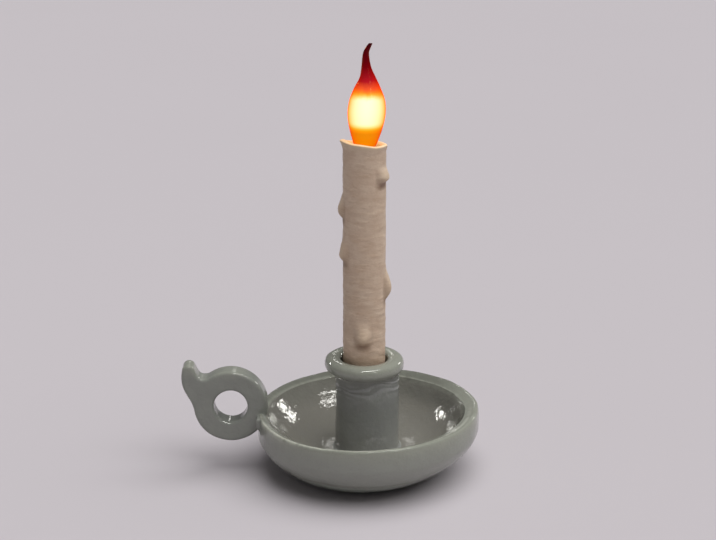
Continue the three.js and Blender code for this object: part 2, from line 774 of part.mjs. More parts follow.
const centringRing = () => tube(holderRadius + snug, sleeveBore - snug,
  centringFoot, centringFoot + centringHeight);

const terminalPlaces = [-1, 1].map((side) => [(side * terminalSpacing) / 2, 0]);

function contactCarrier() {
  const low = carrierFoot - carrierDrop;
  const inner = holderRadius - holderWall - slip;
  const body = turned([
    [0, low], [inner, low], [inner, carrierFoot], [holderRadius, carrierFoot],
    [holderRadius, carrierFoot + carrierFlange], [inner, carrierFoot + carrierFlange],
    [inner, carrierTop], [0, carrierTop],
  ]);
  const screws = terminalPlaces.map(([x, y]) => moved(
    disc(terminalRadius + snug, low - 1, low + 4.4, coarse), x, y, 0));
  return cut(body, disc(tipContactRadius + snug, low + 5, carrierTop + 1, 18), ...screws);
}

const centreContact = () => turned([
  [0, carrierTop - 5], [tipContactRadius, carrierTop - 5], [tipContactRadius, carrierTop],
  [tipContactRadius + 0.8, carrierTop], [tipContactRadius + 0.8, carrierTop + 0.6],
  [tipContactRadius * 0.5, capTip - slip], [0, capTip - slip],
], 18);

function terminalScrew() {
  const low = carrierFoot - carrierDrop;
  const head = terminalRadius + 1;
  const body = turned([
    [0, low - terminalHead], [head, low - terminalHead], [head, low], [terminalRadius, low],
    [terminalRadius, low + 4], [0, low + 4],
  ], coarse);
  return cut(body, block(2 * head + 1, 0.6, low - terminalHead - 1, low - terminalHead + 0.7));
}

const holderCup = () => turned([
  [stemRadius + snug, cupFoot], [holderRadius - 2, cupFoot], [holderRadius, cupFoot + 2],
  [holderRadius, carrierFoot], [holderRadius - holderWall, carrierFoot],
  [holderRadius - holderWall, cupFoot + holderFloor], [stemRadius + snug, cupFoot + holderFloor],
  [stemRadius + snug, cupFoot],
]);

// Base

const buttonPlace = [footShift, boardCentreY];

function basePad() {
  const pad = disc(padRadius, 0, padThickness, fine).translate(footShift, 0, 0);
  const holes = screwPlaces.map(([x, y]) => moved(
    disc(screwHead + 1.6, -1, padThickness + 1, coarse), x, y, 0));
  const finger = moved(disc(buttonRadius + 4, -1, padThickness + 1), ...buttonPlace, 0);
  return cut(pad, ...holes, finger);
}

const sinkDepth = screwHead - screwRadius;

function baseCover() {
  const plate = disc(coverRadius, coverFoot, coverTop, fine).translate(footShift, 0, 0);
  const sinks = screwPlaces.map(([x, y]) => moved(turned([
    [0, coverFoot - 1], [screwHead + snug, coverFoot - 1], [screwHead + snug, coverFoot + 0.3],
    [screwRadius + snug, coverFoot + 0.3 + sinkDepth], [screwRadius + snug, coverTop + 1], [0, coverTop + 1],
  ], coarse), x, y, 0));
  const button = moved(disc(buttonRadius + slip, coverFoot - 1, coverTop + 1), ...buttonPlace, 0);
  return cut(plate, ...sinks, button);
}

function coverScrew() {
  const head = coverFoot + 0.1;
  const body = turned([
    [0, head], [screwHead, head], [screwHead, head + 0.2], [screwRadius, head + 0.2 + sinkDepth],
    [screwRadius, head + screwLength], [0, head + screwLength],
  ], coarse);
  const slot = block(screwHead * 1.3, 0.8, head - 1, head + 0.9);
  return cut(body, slot, slot.clone().rotateZ(Math.PI / 2));
}

const coverInsert = () => tube(screwRadius + snug * 0.75, insertRadius,
  coverTop, coverTop + insertLength, coarse);

// Battery, rounded at its long edges
function batteryCell() {
  const low = coverTop + foamThickness;
  const edge = 2.5;
  const section = new THREE.Shape();
  const half = batteryWidth / 2;
  section.moveTo(edge - half, 0);
  section.lineTo(half - edge, 0);
  section.quadraticCurveTo(half, 0, half, edge);
  section.lineTo(half, batteryThickness - edge);
  section.quadraticCurveTo(half, batteryThickness, half - edge, batteryThickness);
  section.lineTo(edge - half, batteryThickness);
  section.quadraticCurveTo(-half, batteryThickness, -half, batteryThickness - edge);
  section.lineTo(-half, edge);
  section.quadraticCurveTo(-half, 0, edge - half, 0);
  const body = new THREE.ExtrudeGeometry(section,
    { depth: batteryLength, curveSegments: 4, bevelEnabled: false });
  body.translate(0, 0, -batteryLength / 2).rotateX(Math.PI / 2).rotateZ(Math.PI / 2);
  return closed(body.translate(footShift + batteryShift, batteryCentreY, low));
}
const batteryCentreY = -(boardOffset + batteryWidth / 2 - 2);

const batteryFoam = () => block(batteryLength - 4, batteryWidth - 6,
  coverTop, coverTop + foamThickness).translate(footShift + batteryShift, batteryCentreY, 0);

function controlBoard() {
  const top = boardHeight + boardThickness;
  const plate = block(boardLength, boardWidth, boardHeight, top);
  const chips = [
    moved(block(7, 7, top, top + 1.2), -4, 3, 0),
    moved(block(5, 4, top, top + 1.6), 5, 4, 0),
    moved(block(3.4, 2, top, top + 0.9), 3, -6, 0),
  ].map((chip) => chip.translate(0, 0, -0.1));
  const holes = pillarPlaces.map(([x]) => moved(
    disc(screwRadius + snug, boardHeight - 1, top + 1, coarse), x - footShift, 0, 0));
  return cut(joined(plate, ...chips), ...holes).translate(footShift, boardCentreY, 0);
}

function boardScrew() {
  const head = boardHeight - 1.4;
  const body = turned([
    [0, head], [2, head], [2.4, head + 0.5], [2.4, boardHeight], [screwRadius, boardHeight],
    [screwRadius, boardHeight + boardThickness + 3], [0, boardHeight + boardThickness + 3],
  ], coarse);
  const slot = block(2.8, 0.7, head - 1, head + 0.8);
  return cut(body, slot, slot.clone().rotateZ(Math.PI / 2));
}

const plungerDepth = buttonTravel + 1.4;
const switchFoot = boardHeight - switchHeight;

function switchBody() {
  const body = block(switchSize, switchSize, switchFoot, boardHeight);
  return cut(body, disc(plungerRadius + slip, switchFoot - 1, switchFoot + plungerDepth, coarse));
}

// The button's flange rests above the cover, and its top stays clear of the switch when pressed.
const buttonTop = switchFoot - buttonTravel - slip;

const switchPlunger = () => disc(plungerRadius, buttonTop,
  switchFoot + plungerDepth - buttonTravel - slip, coarse);

function powerButton() {
  const flangeFoot = coverTop + slip;
  return turned([
    [0, buttonLift + 0.5], [buttonRadius - 2, buttonLift + 0.3], [buttonRadius - 1, buttonLift],
    [buttonRadius, buttonLift + 0.6], [buttonRadius, flangeFoot], [buttonRadius + buttonFlange, flangeFoot],
    [buttonRadius + buttonFlange, buttonTop], [0, buttonTop],
  ]);
}

// Charging inlet

const socketFloor = inletFloor + snug + inletBoardThickness;
const socketFront = inletDepth - bezelThickness - snug;

function chargeBezel() {
  const plate = block(inletWidth - 2 * snug, bezelThickness,
    inletFloor + snug, inletFloor + inletHeight - snug);
  const mouth = block(socketWidth + slip, bezelThickness + 2, socketFloor - snug,
    socketFloor + socketThickness + snug);
  return cut(plate, mouth).translate(0, inletDepth - bezelThickness / 2, 0);
}

function chargeSocket() {
  const wall = 0.35;
  const shell = block(socketWidth, socketLength, socketFloor, socketFloor + socketThickness);
  const room = moved(block(socketWidth - 2 * wall, socketLength, socketFloor + wall,
    socketFloor + socketThickness - wall), 0, 1, 0);
  const middle = socketFloor + socketThickness / 2;
  const tongue = moved(block(socketWidth - 2.2, socketLength - 2, middle - 0.35, middle + 0.35), 0, -0.8, 0);
  return joined(cut(shell, room), tongue).translate(0, socketFront - socketLength / 2, 0);
}

const chargeBoard = () => block(inletWidth - 2, inletBoardLength, inletFloor + snug, socketFloor)
  .translate(0, socketFront - inletBoardLength / 2, 0);

// Wires inside the lamp

const boardMiddle = boardHeight + boardThickness / 2;
const boardNear = boardOffset - slip;
const boardFar = boardOffset + boardWidth + slip;
const chargeBoardEnd = socketFront - inletBoardLength - slip;
const inletMiddle = inletFloor + inletHeight / 2;

const chargeLead = () => wire([
  [0, chargeBoardEnd, inletMiddle - 0.4], [0, chargeBoardEnd - 6, inletMiddle - 1.8],
  [0, cavityRadius + 8, boardMiddle + 2], [0, cavityRadius - 2, boardMiddle + 0.2],
  [0, boardFar + 4, boardMiddle], [0, boardFar, boardMiddle],
]);

function batteryLead() {
  const end = footShift + batteryShift + batteryLength / 2 + slip;
  const level = coverTop + foamThickness + batteryThickness / 2;
  return wire([
    [end, batteryCentreY, level], [end + 2, batteryCentreY + 1, level],
    [end + 4, batteryCentreY + 8, level + 0.5], [end + 3, -4, boardMiddle],
    [end - 3, boardNear - 6, boardMiddle], [end - 8, boardNear - 2.5, boardMiddle],
    [end - 9, boardNear, boardMiddle],
  ]);
}

// Each lamp wire leaves the board, turns up into the stem and ends at its terminal screw.
function lampWire(side) {
  const inStem = side * 1.5;
  const screwFoot = carrierFoot - carrierDrop - terminalHead - slip;
  return wire([
    [side * 3, boardNear, boardMiddle], [side * 2.8, boardNear - 2.5, boardMiddle - 1.2],
    [side * 2, 4, stemFoot - 2.4], [inStem, 0.8, stemFoot - 1.2], [inStem, 0, stemFoot + 3],
    [inStem, 0, ledgeHeight], [inStem, 0, stemTop - 4], [side * 1.8, 0, stemTop],
    [side * 4.6, 0, (stemTop + screwFoot) / 2 + 1], [(side * terminalSpacing) / 2, 0, screwFoot],
  ]);
}

// The whole lamp

function mesh(name, geometry, finishOf, x = 0, y = 0, z = 0) {
  const piece = new THREE.Mesh(geometry, finishOf());
  piece.name = name;
  piece.position.set(x, y, z);
  return piece;
}

function group(...pieces) {
  const all = new THREE.Group();
  all.add(...pieces);
  return all;
}

// One numbered copy of a piece for each place.
const copies = (name, shape, finishOf, places) => places.map(
  ([x, y], i) => mesh(`${name}_${i + 1}`, shape(), finishOf, x, y));

const dishGroup = group(
  mesh('dish', dish(), glaze),
  mesh('handle', handlePlate(handleThickness, 0, handleEdge), glaze),
  mesh('socket_column', socketColumn(), glaze),
);

const baseGroup = group(
  mesh('base_pad', basePad(), rubber),
  mesh('base_cover', baseCover(), blackPlastic),
  ...copies('cover_screw', coverScrew, steel, screwPlaces),
  ...copies('cover_insert', coverInsert, brass, screwPlaces),
  mesh('battery_foam', batteryFoam(), foam),
  mesh('battery_cell', batteryCell(), foil),
  mesh('control_board', controlBoard(), boardGreen),
  ...copies('board_screw', boardScrew, steel, pillarPlaces),
  mesh('switch_body', switchBody(), blackPlastic, ...buttonPlace),
  mesh('switch_plunger', switchPlunger(), greyPlastic, ...buttonPlace),
  mesh('power_button', powerButton(), greyPlastic, ...buttonPlace),
  mesh('charge_bezel', chargeBezel(), blackPlastic),
  mesh('charge_socket', chargeSocket(), steel),
  mesh('charge_board', chargeBoard(), boardGreen),
  mesh('charge_lead', chargeLead(), blackWire),
  mesh('battery_lead', batteryLead(), redWire),
);

const stemGroup = group(
  mesh('stem_tube', tube(stemBore, stemRadius, stemFoot, stemTop), steel),
  mesh('lower_washer',
    tube(stemRadius + snug, washerRadius, cavityRoof - washerThickness, cavityRoof), steel),
  mesh('lower_nut', hexNut(cavityRoof - washerThickness - nutThickness), steel),
  mesh('upper_nut', hexNut(sleeveFoot), steel),
  mesh('lamp_wire_live', lampWire(1), redWire),
  mesh('lamp_wire_neutral', lampWire(-1), blackWire),
);

const candleGroup = group(
  mesh('candle_sleeve', candleSleeve(), wax),
  mesh('sleeve_seat', sleeveSeat(), blackPlastic),
  mesh('centring_ring', centringRing(), blackPlastic),
  mesh('holder_cup', holderCup(), ceramic),
  mesh('contact_carrier', contactCarrier(), ceramic),
  mesh('holder_shell', holderShell(), ceramic),
  mesh('holder_thread', holderThread(), brass),
  mesh('centre_contact', centreContact(), brass),
  ...copies('terminal_screw', terminalScrew, brass, terminalPlaces),
);

const bulbGroup = group(
  mesh('flame_glass', flameGlass(), amberGlass),
  mesh('bulb_cap', bulbCap(), brass),
  mesh('bulb_insulator', bulbInsulator(), blackPlastic),
  mesh('bulb_tip_contact', bulbTipContact(), steel),
  mesh('bulb_mount', bulbMount(), clearGlass),
  ...copies('filament', filament, glow, filamentPlaces),
  mesh('filament_frame_lower', filamentFrame(filamentLow - frameWire - snug), steel),
  mesh('filament_frame_upper', filamentFrame(filamentHigh + frameWire + snug), steel),
  mesh('bulb_driver', bulbDriver(), boardGreen),
);

export default group(dishGroup, baseGroup, stemGroup, candleGroup, bulbGroup);
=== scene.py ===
# %% [markdown]
# # A chamberstick lamp, dressed in Blender
# The lamp's solids are already at their real size, and they are loaded here as a fixed frame.
# What the eye meets, the glazed dish, the wax-like candle and the flame bulb, is modelled anew
# around that frame, in metres, because a glaze or a drip of wax needs a finer surface than a
# construction solid has.
# %% Load the frame
import math
import bpy
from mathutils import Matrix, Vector, noise


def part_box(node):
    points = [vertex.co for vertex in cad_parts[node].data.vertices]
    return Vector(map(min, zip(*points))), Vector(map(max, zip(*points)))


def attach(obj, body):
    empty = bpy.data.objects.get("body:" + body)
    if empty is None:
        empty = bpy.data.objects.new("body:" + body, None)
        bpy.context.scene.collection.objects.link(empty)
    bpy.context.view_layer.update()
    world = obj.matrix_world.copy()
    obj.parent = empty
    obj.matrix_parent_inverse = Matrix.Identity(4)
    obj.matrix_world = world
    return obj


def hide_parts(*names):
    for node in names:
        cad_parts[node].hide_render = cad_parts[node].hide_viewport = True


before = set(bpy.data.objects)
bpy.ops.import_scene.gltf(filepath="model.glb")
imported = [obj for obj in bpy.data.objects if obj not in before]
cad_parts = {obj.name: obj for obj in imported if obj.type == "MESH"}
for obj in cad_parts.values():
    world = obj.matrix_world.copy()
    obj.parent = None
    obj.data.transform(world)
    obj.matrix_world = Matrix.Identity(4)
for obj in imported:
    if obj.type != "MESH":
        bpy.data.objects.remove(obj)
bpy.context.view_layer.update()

MM = 0.001

# %% [markdown]
# ## Measures taken from the frame
# A piece that follows the frame's boxes still fits when the solids change. So every place below
# starts from a node's lowest and highest corner, and only the hand-made character, such as a
# drip's bulge, is written as a number. Numbers with MM are millimetres.
# %% Measures
dish_low, dish_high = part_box("dish")
column_low, column_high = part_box("socket_column")
handle_low, handle_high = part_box("handle")
sleeve_low, sleeve_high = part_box("candle_sleeve")
glass_low, glass_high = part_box("flame_glass")
cover_low, cover_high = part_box("base_cover")
cap_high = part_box("bulb_cap")[1]

# %% [markdown]
# ## The camera
# The photograph looks slightly down on the lamp from far away with a long lens, so that the rim
# is a flat ellipse and the candle hardly narrows. The camera stands 1.6 m in front of the candle
# and 73 cm above the table, tilted down by 18 degrees.
# %% Camera
CAMERA_PLACE = (-5.9 * MM, -1.6, 0.731)
CAMERA_TILT = 18.36
LENS = 90.55
SENSOR_WIDTH = 36
SIGHT = 60

camera = bpy.data.objects.new("camera", bpy.data.cameras.new("camera"))
bpy.context.collection.objects.link(camera)
camera.location = CAMERA_PLACE
camera.rotation_euler = (math.radians(90 - CAMERA_TILT), 0, 0)
camera.data.lens = LENS
camera.data.sensor_width = SENSOR_WIDTH
camera.data.clip_end = SIGHT
bpy.context.scene.camera = camera
bpy.context.scene.view_settings.view_transform = "Standard"
print("camera at", CAMERA_PLACE, "lens", LENS)

# %% [markdown]
# ## Shader sums written as Python
# A material is a web of nodes, which is hard to read as a list of links. This small class wraps
# a socket, so that `1 - mask * 0.5` adds the Math nodes by itself, and one method adds any other
# node with its settings and its inputs.
# %% Shader helper
class Flow:
    """A number that runs through a material's nodes."""

    def __init__(self, finish, socket):
        self.finish = finish
        self.socket = socket

    def combine(self, operation, first, second):
        node = self.finish.node("ShaderNodeMath", {"operation": operation}, {0: first, 1: second})
        return Flow(self.finish, node.outputs[0])

    def __add__(self, other):
        return self.combine("ADD", self, other)

    __radd__ = __add__

    def __mul__(self, other):
        return self.combine("MULTIPLY", self, other)

    __rmul__ = __mul__

    def __sub__(self, other):
        return self.combine("SUBTRACT", self, other)

    def __rsub__(self, other):
        return self.combine("SUBTRACT", other, self)

    def __truediv__(self, other):
        return self.combine("DIVIDE", self, other)

    def largest(self, other):
        return self.combine("MAXIMUM", self, other)

    def sine(self):
        return self.combine("SINE", self, 0.0)

    def absolute(self):
        return self.combine("ABSOLUTE", self, 0.0)

    def step(self, low, high):
        """0 below low, 1 above high and a smooth rise between them."""
        settings = {"interpolation_type": "SMOOTHSTEP"}
        inputs = {"Value": self, "From Min": low, "From Max": high}
        node = self.finish.node("ShaderNodeMapRange", settings, inputs)
        return Flow(self.finish, node.outputs[0])


class Finish:
    """A procedural material. Its pattern sits in the object's own space, in metres."""

    def __init__(self, name, **constants):
        self.material = bpy.data.materials.new(name)
        self.material.use_nodes = True
        self.tree = self.material.node_tree
        self.shader = self.tree.nodes["Principled BSDF"]
        self.place = self.tree.nodes.new("ShaderNodeTexCoord").outputs["Object"]
        for socket, value in constants.items():
            self.shader.inputs[socket.replace("_", " ")].default_value = value

    def put(self, value, socket):
        if isinstance(value, Flow):
            value = value.socket
        if isinstance(value, bpy.types.NodeSocket):
            self.tree.links.new(value, socket)
        elif value is not None:
            socket.default_value = value

    def node(self, kind, settings=None, inputs=None):
        made = self.tree.nodes.new(kind)
        for key, value in (settings or {}).items():
            setattr(made, key, value)
        for key, value in (inputs or {}).items():
            self.put(value, made.inputs[key])
        return made

    def set(self, **values):
        for socket, value in values.items():
            self.put(value, self.shader.inputs[socket.replace("_", " ")])

    def axes(self):
        split = self.node("ShaderNodeSeparateXYZ", None, {0: self.place})
        return [Flow(self, output) for output in split.outputs]

    def mark(self, name):
        """A mark that was written on the vertices, as a number."""
        return Flow(self, self.node("ShaderNodeAttribute", {"attribute_name": name}).outputs["Fac"])

    def noise(self, size, detail=3.0, stretch=(1, 1, 1), offset=0.0):
        """Cloudy noise whose blots are about size metres wide."""
        settings = {"vector_type": "POINT"}
        inputs = {"Vector": self.place, "Scale": tuple(1 / s for s in stretch),
                  "Location": (offset,) * 3}
        placed = self.node("ShaderNodeMapping", settings, inputs)
        inputs = {"Vector": placed.outputs[0], "Scale": 1 / size, "Detail": detail}
        cloud = self.node("ShaderNodeTexNoise", None, inputs)
        return Flow(self, cloud.outputs[0])

    def blend(self, mask, first, second):
        node = self.node("ShaderNodeMix", {"data_type": "RGBA"}, {0: mask, 6: first, 7: second})
        return node.outputs[2]

    def ramp(self, value, stops):
        node = self.node("ShaderNodeValToRGB", None, {0: value})
        elements = node.color_ramp.elements
        while len(elements) < len(stops):
            elements.new(0.5)
        for element, (place, color) in zip(elements, stops):
            element.position = place
        for element, (place, color) in zip(elements, stops):
            element.color = (*color[:3], 1)
        return node.outputs[0]

    def bump(self, height, depth):
        """Lets a height between 0 and 1 stand out by depth metres."""
        node = self.node("ShaderNodeBump", None,
                         {"Height": height, "Strength": 1.0, "Distance": depth})
        self.put(node.outputs[0], self.shader.inputs["Normal"])
        return self


def srgb(red, green, blue):
    """A colour as a screen shows it, from 0 to 255, turned into the shader's linear values."""
    parts = [value / 255 for value in (red, green, blue)]
    linear = [p / 12.92 if p <= 0.04045 else ((p + 0.055) / 1.055) ** 2.4 for p in parts]
    return (*linear, 1.0)


print("shader helper ready")

# %% [markdown]
# ## Modelling helpers
# Most of the lamp is round. By hand, a round form is drawn up from a circle: extrude the edge,
# move it, scale it, and again. The helper below does just that from a list of stations, each a
# radius, a height and the place of its middle. A second helper moves every vertex by a rule, as
# fingers press clay, and a third one applies a modifier.
# %% Modelling helpers
def only(piece):
    bpy.ops.object.select_all(action="DESELECT")
    piece.select_set(True)
    bpy.context.view_layer.objects.active = piece


def apply(piece, kind, **settings):
    only(piece)
    modifier = piece.modifiers.new(kind.lower(), kind)
    for key, value in settings.items():
        setattr(modifier, key, value)
    bpy.ops.object.modifier_apply(modifier=modifier.name)


def tidy(piece, smooth=30):
    """Merges doubles, turns faces outwards and shades smooth up to an angle."""
    only(piece)
    bpy.ops.object.mode_set(mode="EDIT")
    bpy.ops.mesh.select_all(action="SELECT")
    bpy.ops.mesh.remove_doubles(threshold=1e-5)
    bpy.ops.mesh.normals_make_consistent(inside=False)
    bpy.ops.object.mode_set(mode="OBJECT")
    bpy.ops.object.shade_smooth_by_angle(angle=math.radians(smooth))


def drawn_up(name, stations, sides, ends="closed"):
    """A round form through stations of (radius, height, middle x). Its ends are closed to a
    point, or they meet each other as a ring."""
    radius, height, middle = stations[0]
    fill = "TRIFAN" if ends == "closed" else "NOTHING"
    bpy.ops.object.select_all(action="DESELECT")
    bpy.ops.mesh.primitive_circle_add(
        vertices=sides, radius=radius, fill_type=fill, location=(middle, 0, height))
    piece = bpy.context.object
    piece.name = name
    bpy.ops.object.transform_apply(location=True, rotation=True, scale=True)
    bpy.ops.object.mode_set(mode="EDIT")
    if ends == "closed":
        bpy.ops.mesh.select_all(action="DESELECT")
        bpy.ops.mesh.select_mode(type="EDGE")
        bpy.ops.mesh.select_non_manifold(extend=False)
    else:
        bpy.ops.mesh.select_all(action="SELECT")
    for new_radius, new_height, new_middle in stations[1:]:
        step = (new_middle - middle, 0, new_height - height)
        bpy.ops.mesh.extrude_region_move(TRANSFORM_OT_translate={"value": step})
        share = new_radius / radius
        bpy.ops.transform.resize(
            value=(share, share, 1), center_override=(new_middle, 0, new_height))
        radius, height, middle = new_radius, new_height, new_middle
    if ends == "closed":
        bpy.ops.mesh.edge_face_add()
        bpy.ops.mesh.poke()
    bpy.ops.object.mode_set(mode="OBJECT")
    tidy(piece)
    return piece


def pressed(piece, rule):
    """Moves each vertex by what the rule says for its place."""
    for vertex in piece.data.vertices:
        vertex.co += rule(vertex.co)
    piece.data.update()


def along(stations, count):
    """More stations on a smooth line through the given ones."""
    made = []
    last = len(stations) - 1
    for i in range(count + 1):
        at = i / count * last
        k = min(int(at), last - 1)
        t = at - k
        near = [stations[min(max(k + j, 0), last)] for j in (-1, 0, 1, 2)]
        made.append(tuple(
            0.5 * (2 * b + (c - a) * t + (2 * a - 5 * b + 4 * c - d) * t * t
                   + (3 * b - a - 3 * c + d) * t ** 3)
            for a, b, c, d in zip(*near)))
    return made


def curve(start, near, far, end, count):
    """Points of a cubic curve, without its first one."""
    points = []
    for i in range(1, count + 1):
        t = i / count
        weights = ((1 - t) ** 3, 3 * (1 - t) ** 2 * t, 3 * (1 - t) * t * t, t ** 3)
        points.append(tuple(
            sum(w * p[axis] for w, p in zip(weights, (start, near, far, end))) for axis in (0, 1)))
    return points


def smooth(value, low, high):
    share = min(max((value - low) / (high - low), 0.0), 1.0)
    return share * share * (3 - 2 * share)


def mark(piece, rule):
    """Writes marks on each vertex for the shader. The rule gives the marks by name for a vertex."""
    values = [rule(vertex) for vertex in piece.data.vertices]
    for name in values[0]:
        written = piece.data.attributes.new(name, "FLOAT", "POINT")
        written.data.foreach_set("value", [value[name] for value in values])


def dress(piece, finish, slot, body, *nodes):
    """Gives a finished piece its material and its body, and hides the nodes it stands for.
    Its slot is not used.
    """
    piece.data.materials.clear()
    piece.data.materials.append(finish.material)
    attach(piece, body)
    if nodes:
        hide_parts(*nodes)


print("modelling helpers ready")

# %% [markdown]
# ## The dish
# The real dish is thrown or slip-cast in clay: a thick wall, a broad rolled rim, and a foot that
# is recessed underneath for the works. It is drawn up here as one closed ring of stations, from
# the hole in its floor round the underside, up the belly, over the rim and back down the bowl.
# Being hand-made, its foot stands a little to the left of its rim, and the rim tilts.
# %% Dish
rim_radius = (dish_high.y - dish_low.y) / 2
rim_height = dish_high.z - 2.85 * MM
rim_crest = 3 * MM
rim_width = 12.4 * MM
lip_radius = rim_radius - rim_width
lip_height = rim_height - 3.3 * MM
lip_shift = -2.7 * MM
belly_height = 42 * MM
wall_turn = 25 * MM
floor_height = column_low.z
foot_radius = 61 * MM
foot_spread = 11 * MM
foot_height = dish_low.z
foot_middle = (cover_low.x + cover_high.x) / 2
rim_middle = 3.4 * MM
rim_tilt = 2.5 * MM
cover_room = (cover_high.x - cover_low.x) / 2 + 0.3 * MM
cavity_radius = 45 * MM
cavity_roof = 16 * MM
stem_hole = 5.3 * MM
bowl_foot = 34.6 * MM
bowl_curve = 2.4


def lean(height):
    share = min(max(height / belly_height, 0.0), 1.0)
    return foot_middle + (rim_middle - foot_middle) * share


def dish_stations():
    wall = [(foot_radius, foot_height)]
    wall += curve(wall[0], (foot_radius + foot_spread, foot_height + 1.4 * MM),
                  (rim_radius, wall_turn), (rim_radius, belly_height), 26)
    wall += curve(wall[-1], (rim_radius, rim_height - 2.5 * MM),
                  (rim_radius - 0.8 * MM, rim_height), (rim_radius - rim_crest, rim_height), 9)
    wall += curve(wall[-1], (rim_radius - 2 * rim_crest, rim_height),
                  (lip_radius + 3 * MM, lip_height + 0.8 * MM),
                  (lip_radius + 0.8 * MM, lip_height + 0.1 * MM), 8)
    wall += curve(wall[-1], (lip_radius + 0.3 * MM, lip_height),
                  (lip_radius + 0.1 * MM, lip_height - 0.2 * MM),
                  (lip_radius, lip_height - 0.8 * MM), 4)
    edge_radius, edge_height = wall[-1]
    steps = 26
    for i in range(1, steps + 1):
        share = 1 - i / steps
        wall.append((bowl_foot + (edge_radius - bowl_foot) * share,
                     floor_height + (edge_height - floor_height) * share ** bowl_curve))
    stations = [(stem_hole, floor_height, 0.0), (stem_hole, cavity_roof, 0.0)]
    stations += [(radius, height, foot_middle) for radius, height in (
        (cavity_radius, cavity_roof), (cavity_radius, cover_high.z), (cover_room, cover_high.z),
        (cover_room, foot_height + 0.4 * MM), (cover_room + 0.5 * MM, foot_height))]
    stations += [(radius, height, lean(height)) for radius, height in wall]
    return stations + [stations[0]]


def dish_by_hand(place):
    """The lean is in the stations already. This adds the uneven wall, the tilt and the dents."""
    angle = math.atan2(place.y, place.x)
    reach = math.hypot(place.x, place.y)
    swell = 0.7 * MM * smooth(place.z, 5 * MM, belly_height)
    swell *= 0.7 * math.sin(3 * angle + 0.8) + 0.4 * math.sin(5 * angle + 2.1)
    above = smooth(place.z, floor_height, rim_height)
    lift = rim_tilt * place.x / rim_radius + 0.5 * MM * math.sin(4 * angle + 1) * reach / rim_radius
    made = smooth(place.z, 3 * MM, 12 * MM)
    dent = noise.noise(place * 34) * 0.75 * MM + noise.noise(place * 90) * 0.25 * MM - 0.3 * MM
    outward = Vector((math.cos(angle), math.sin(angle), 0))
    inwards = min(max((rim_radius - rim_crest - reach) / (rim_width - rim_crest), 0.0), 1.0)
    sideways = lip_shift * inwards * above ** 2
    pushed = outward * (swell + made * dent * 0.8)
    return pushed + Vector((sideways, 0, above * (lift + dent * 0.7)))


dish = drawn_up("glazed_dish", dish_stations(), 128, "ring")
pressed(dish, dish_by_hand)
print("dish:", len(dish.data.polygons), "faces, rim radius", round(rim_radius, 4))

# %% [markdown]
# The charging inlet is cut through the back of the wall, where a mould would have a loose core.
# A block the size of the inlet is taken away from the dish.
# %% Charging inlet in the dish
bezel_low, bezel_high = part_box("charge_bezel")
inlet_gap = 0.2 * MM
bpy.ops.object.select_all(action="DESELECT")
bpy.ops.mesh.primitive_cube_add(size=1, location=(0, 0, 0))
inlet = bpy.context.object
inlet_low = Vector((bezel_low.x - inlet_gap, 66 * MM, bezel_low.z - inlet_gap))
inlet_high = Vector((bezel_high.x + inlet_gap, rim_radius + 10 * MM, bezel_high.z + inlet_gap))
inlet.scale = inlet_high - inlet_low
inlet.location = (inlet_low + inlet_high) / 2
bpy.ops.object.transform_apply(location=True, rotation=True, scale=True)
apply(dish, "BOOLEAN", operation="DIFFERENCE", object=inlet, solver="EXACT")
bpy.data.objects.remove(inlet)
tidy(dish, 40)


def dish_marks(vertex):
    place = vertex.co
    reach = math.hypot(place.x, place.y)
    inside = smooth(place.z, 18 * MM, 21 * MM)
    inside *= 1 - smooth(reach, lip_radius - 1 * MM, lip_radius + 2 * MM)
    # Painted shade: the steep inner wall below the lip is darkened, where the rim shades it.
    climb = smooth(place.z, 36 * MM, 48 * MM)
    climb *= 1 - smooth(place.z, lip_height - 4 * MM, lip_height)
    crest = smooth(place.z, rim_height - 7 * MM, rim_height - 3 * MM)
    # Painted light: the lower outer wall is made paler and greener, against its shade near the
    # floor.
    low = 1 - smooth(place.z, 4 * MM, 30 * MM)
    front = 1 - smooth(place.y, -40 * MM, 10 * MM)
    # Painted highlights: pale lines along the crest of the outer rim, mostly in front, and along
    # the lip.
    over_rim = crest * smooth(reach, rim_radius - 8 * MM, rim_radius - 5.5 * MM)
    over_rim *= 1 - smooth(reach, rim_radius - 4.5 * MM, rim_radius - 2.5 * MM)
    over_lip = smooth(reach, lip_radius - 1.5 * MM, lip_radius)
    over_lip *= smooth(place.z, lip_height - 3 * MM, lip_height)
    over_lip *= 1 - smooth(reach, lip_radius + 1 * MM, lip_radius + 3 * MM)
    # Painted shade: the crest of the rim is darker towards the back and the left.
    behind = smooth(place.y - place.x * 0.4, -30 * MM, 60 * MM)
    return {"pool": inside, "steep_wall_shade": inside * climb, "foot": low * (1 - inside) * 0.7,
            "wear_and_painted_highlight": 0.75 * over_rim * front + 0.25 * over_lip * (1 - front),
            "back": crest * behind}


mark(dish, dish_marks)
print("dish with its inlet:", len(dish.data.polygons), "faces")

# %% [markdown]
# ## The column and its collar
# The socket for the candle is a short column that swells into a round collar. Where the clay was
# pressed up under the collar, it left soft folds that run round the column. They are pressed in
# here as noise that is stretched round the column, strongest just under the collar.
# %% Column
collar_radius = (column_high.x - column_low.x) / 2
collar_bore = collar_radius - 15.3 * MM
collar_top = column_high.z
collar_foot = collar_top - 16 * MM
column_radius = 30.5 * MM
column_shift = 3 * MM
ledge = sleeve_low.z - 2.5 * MM


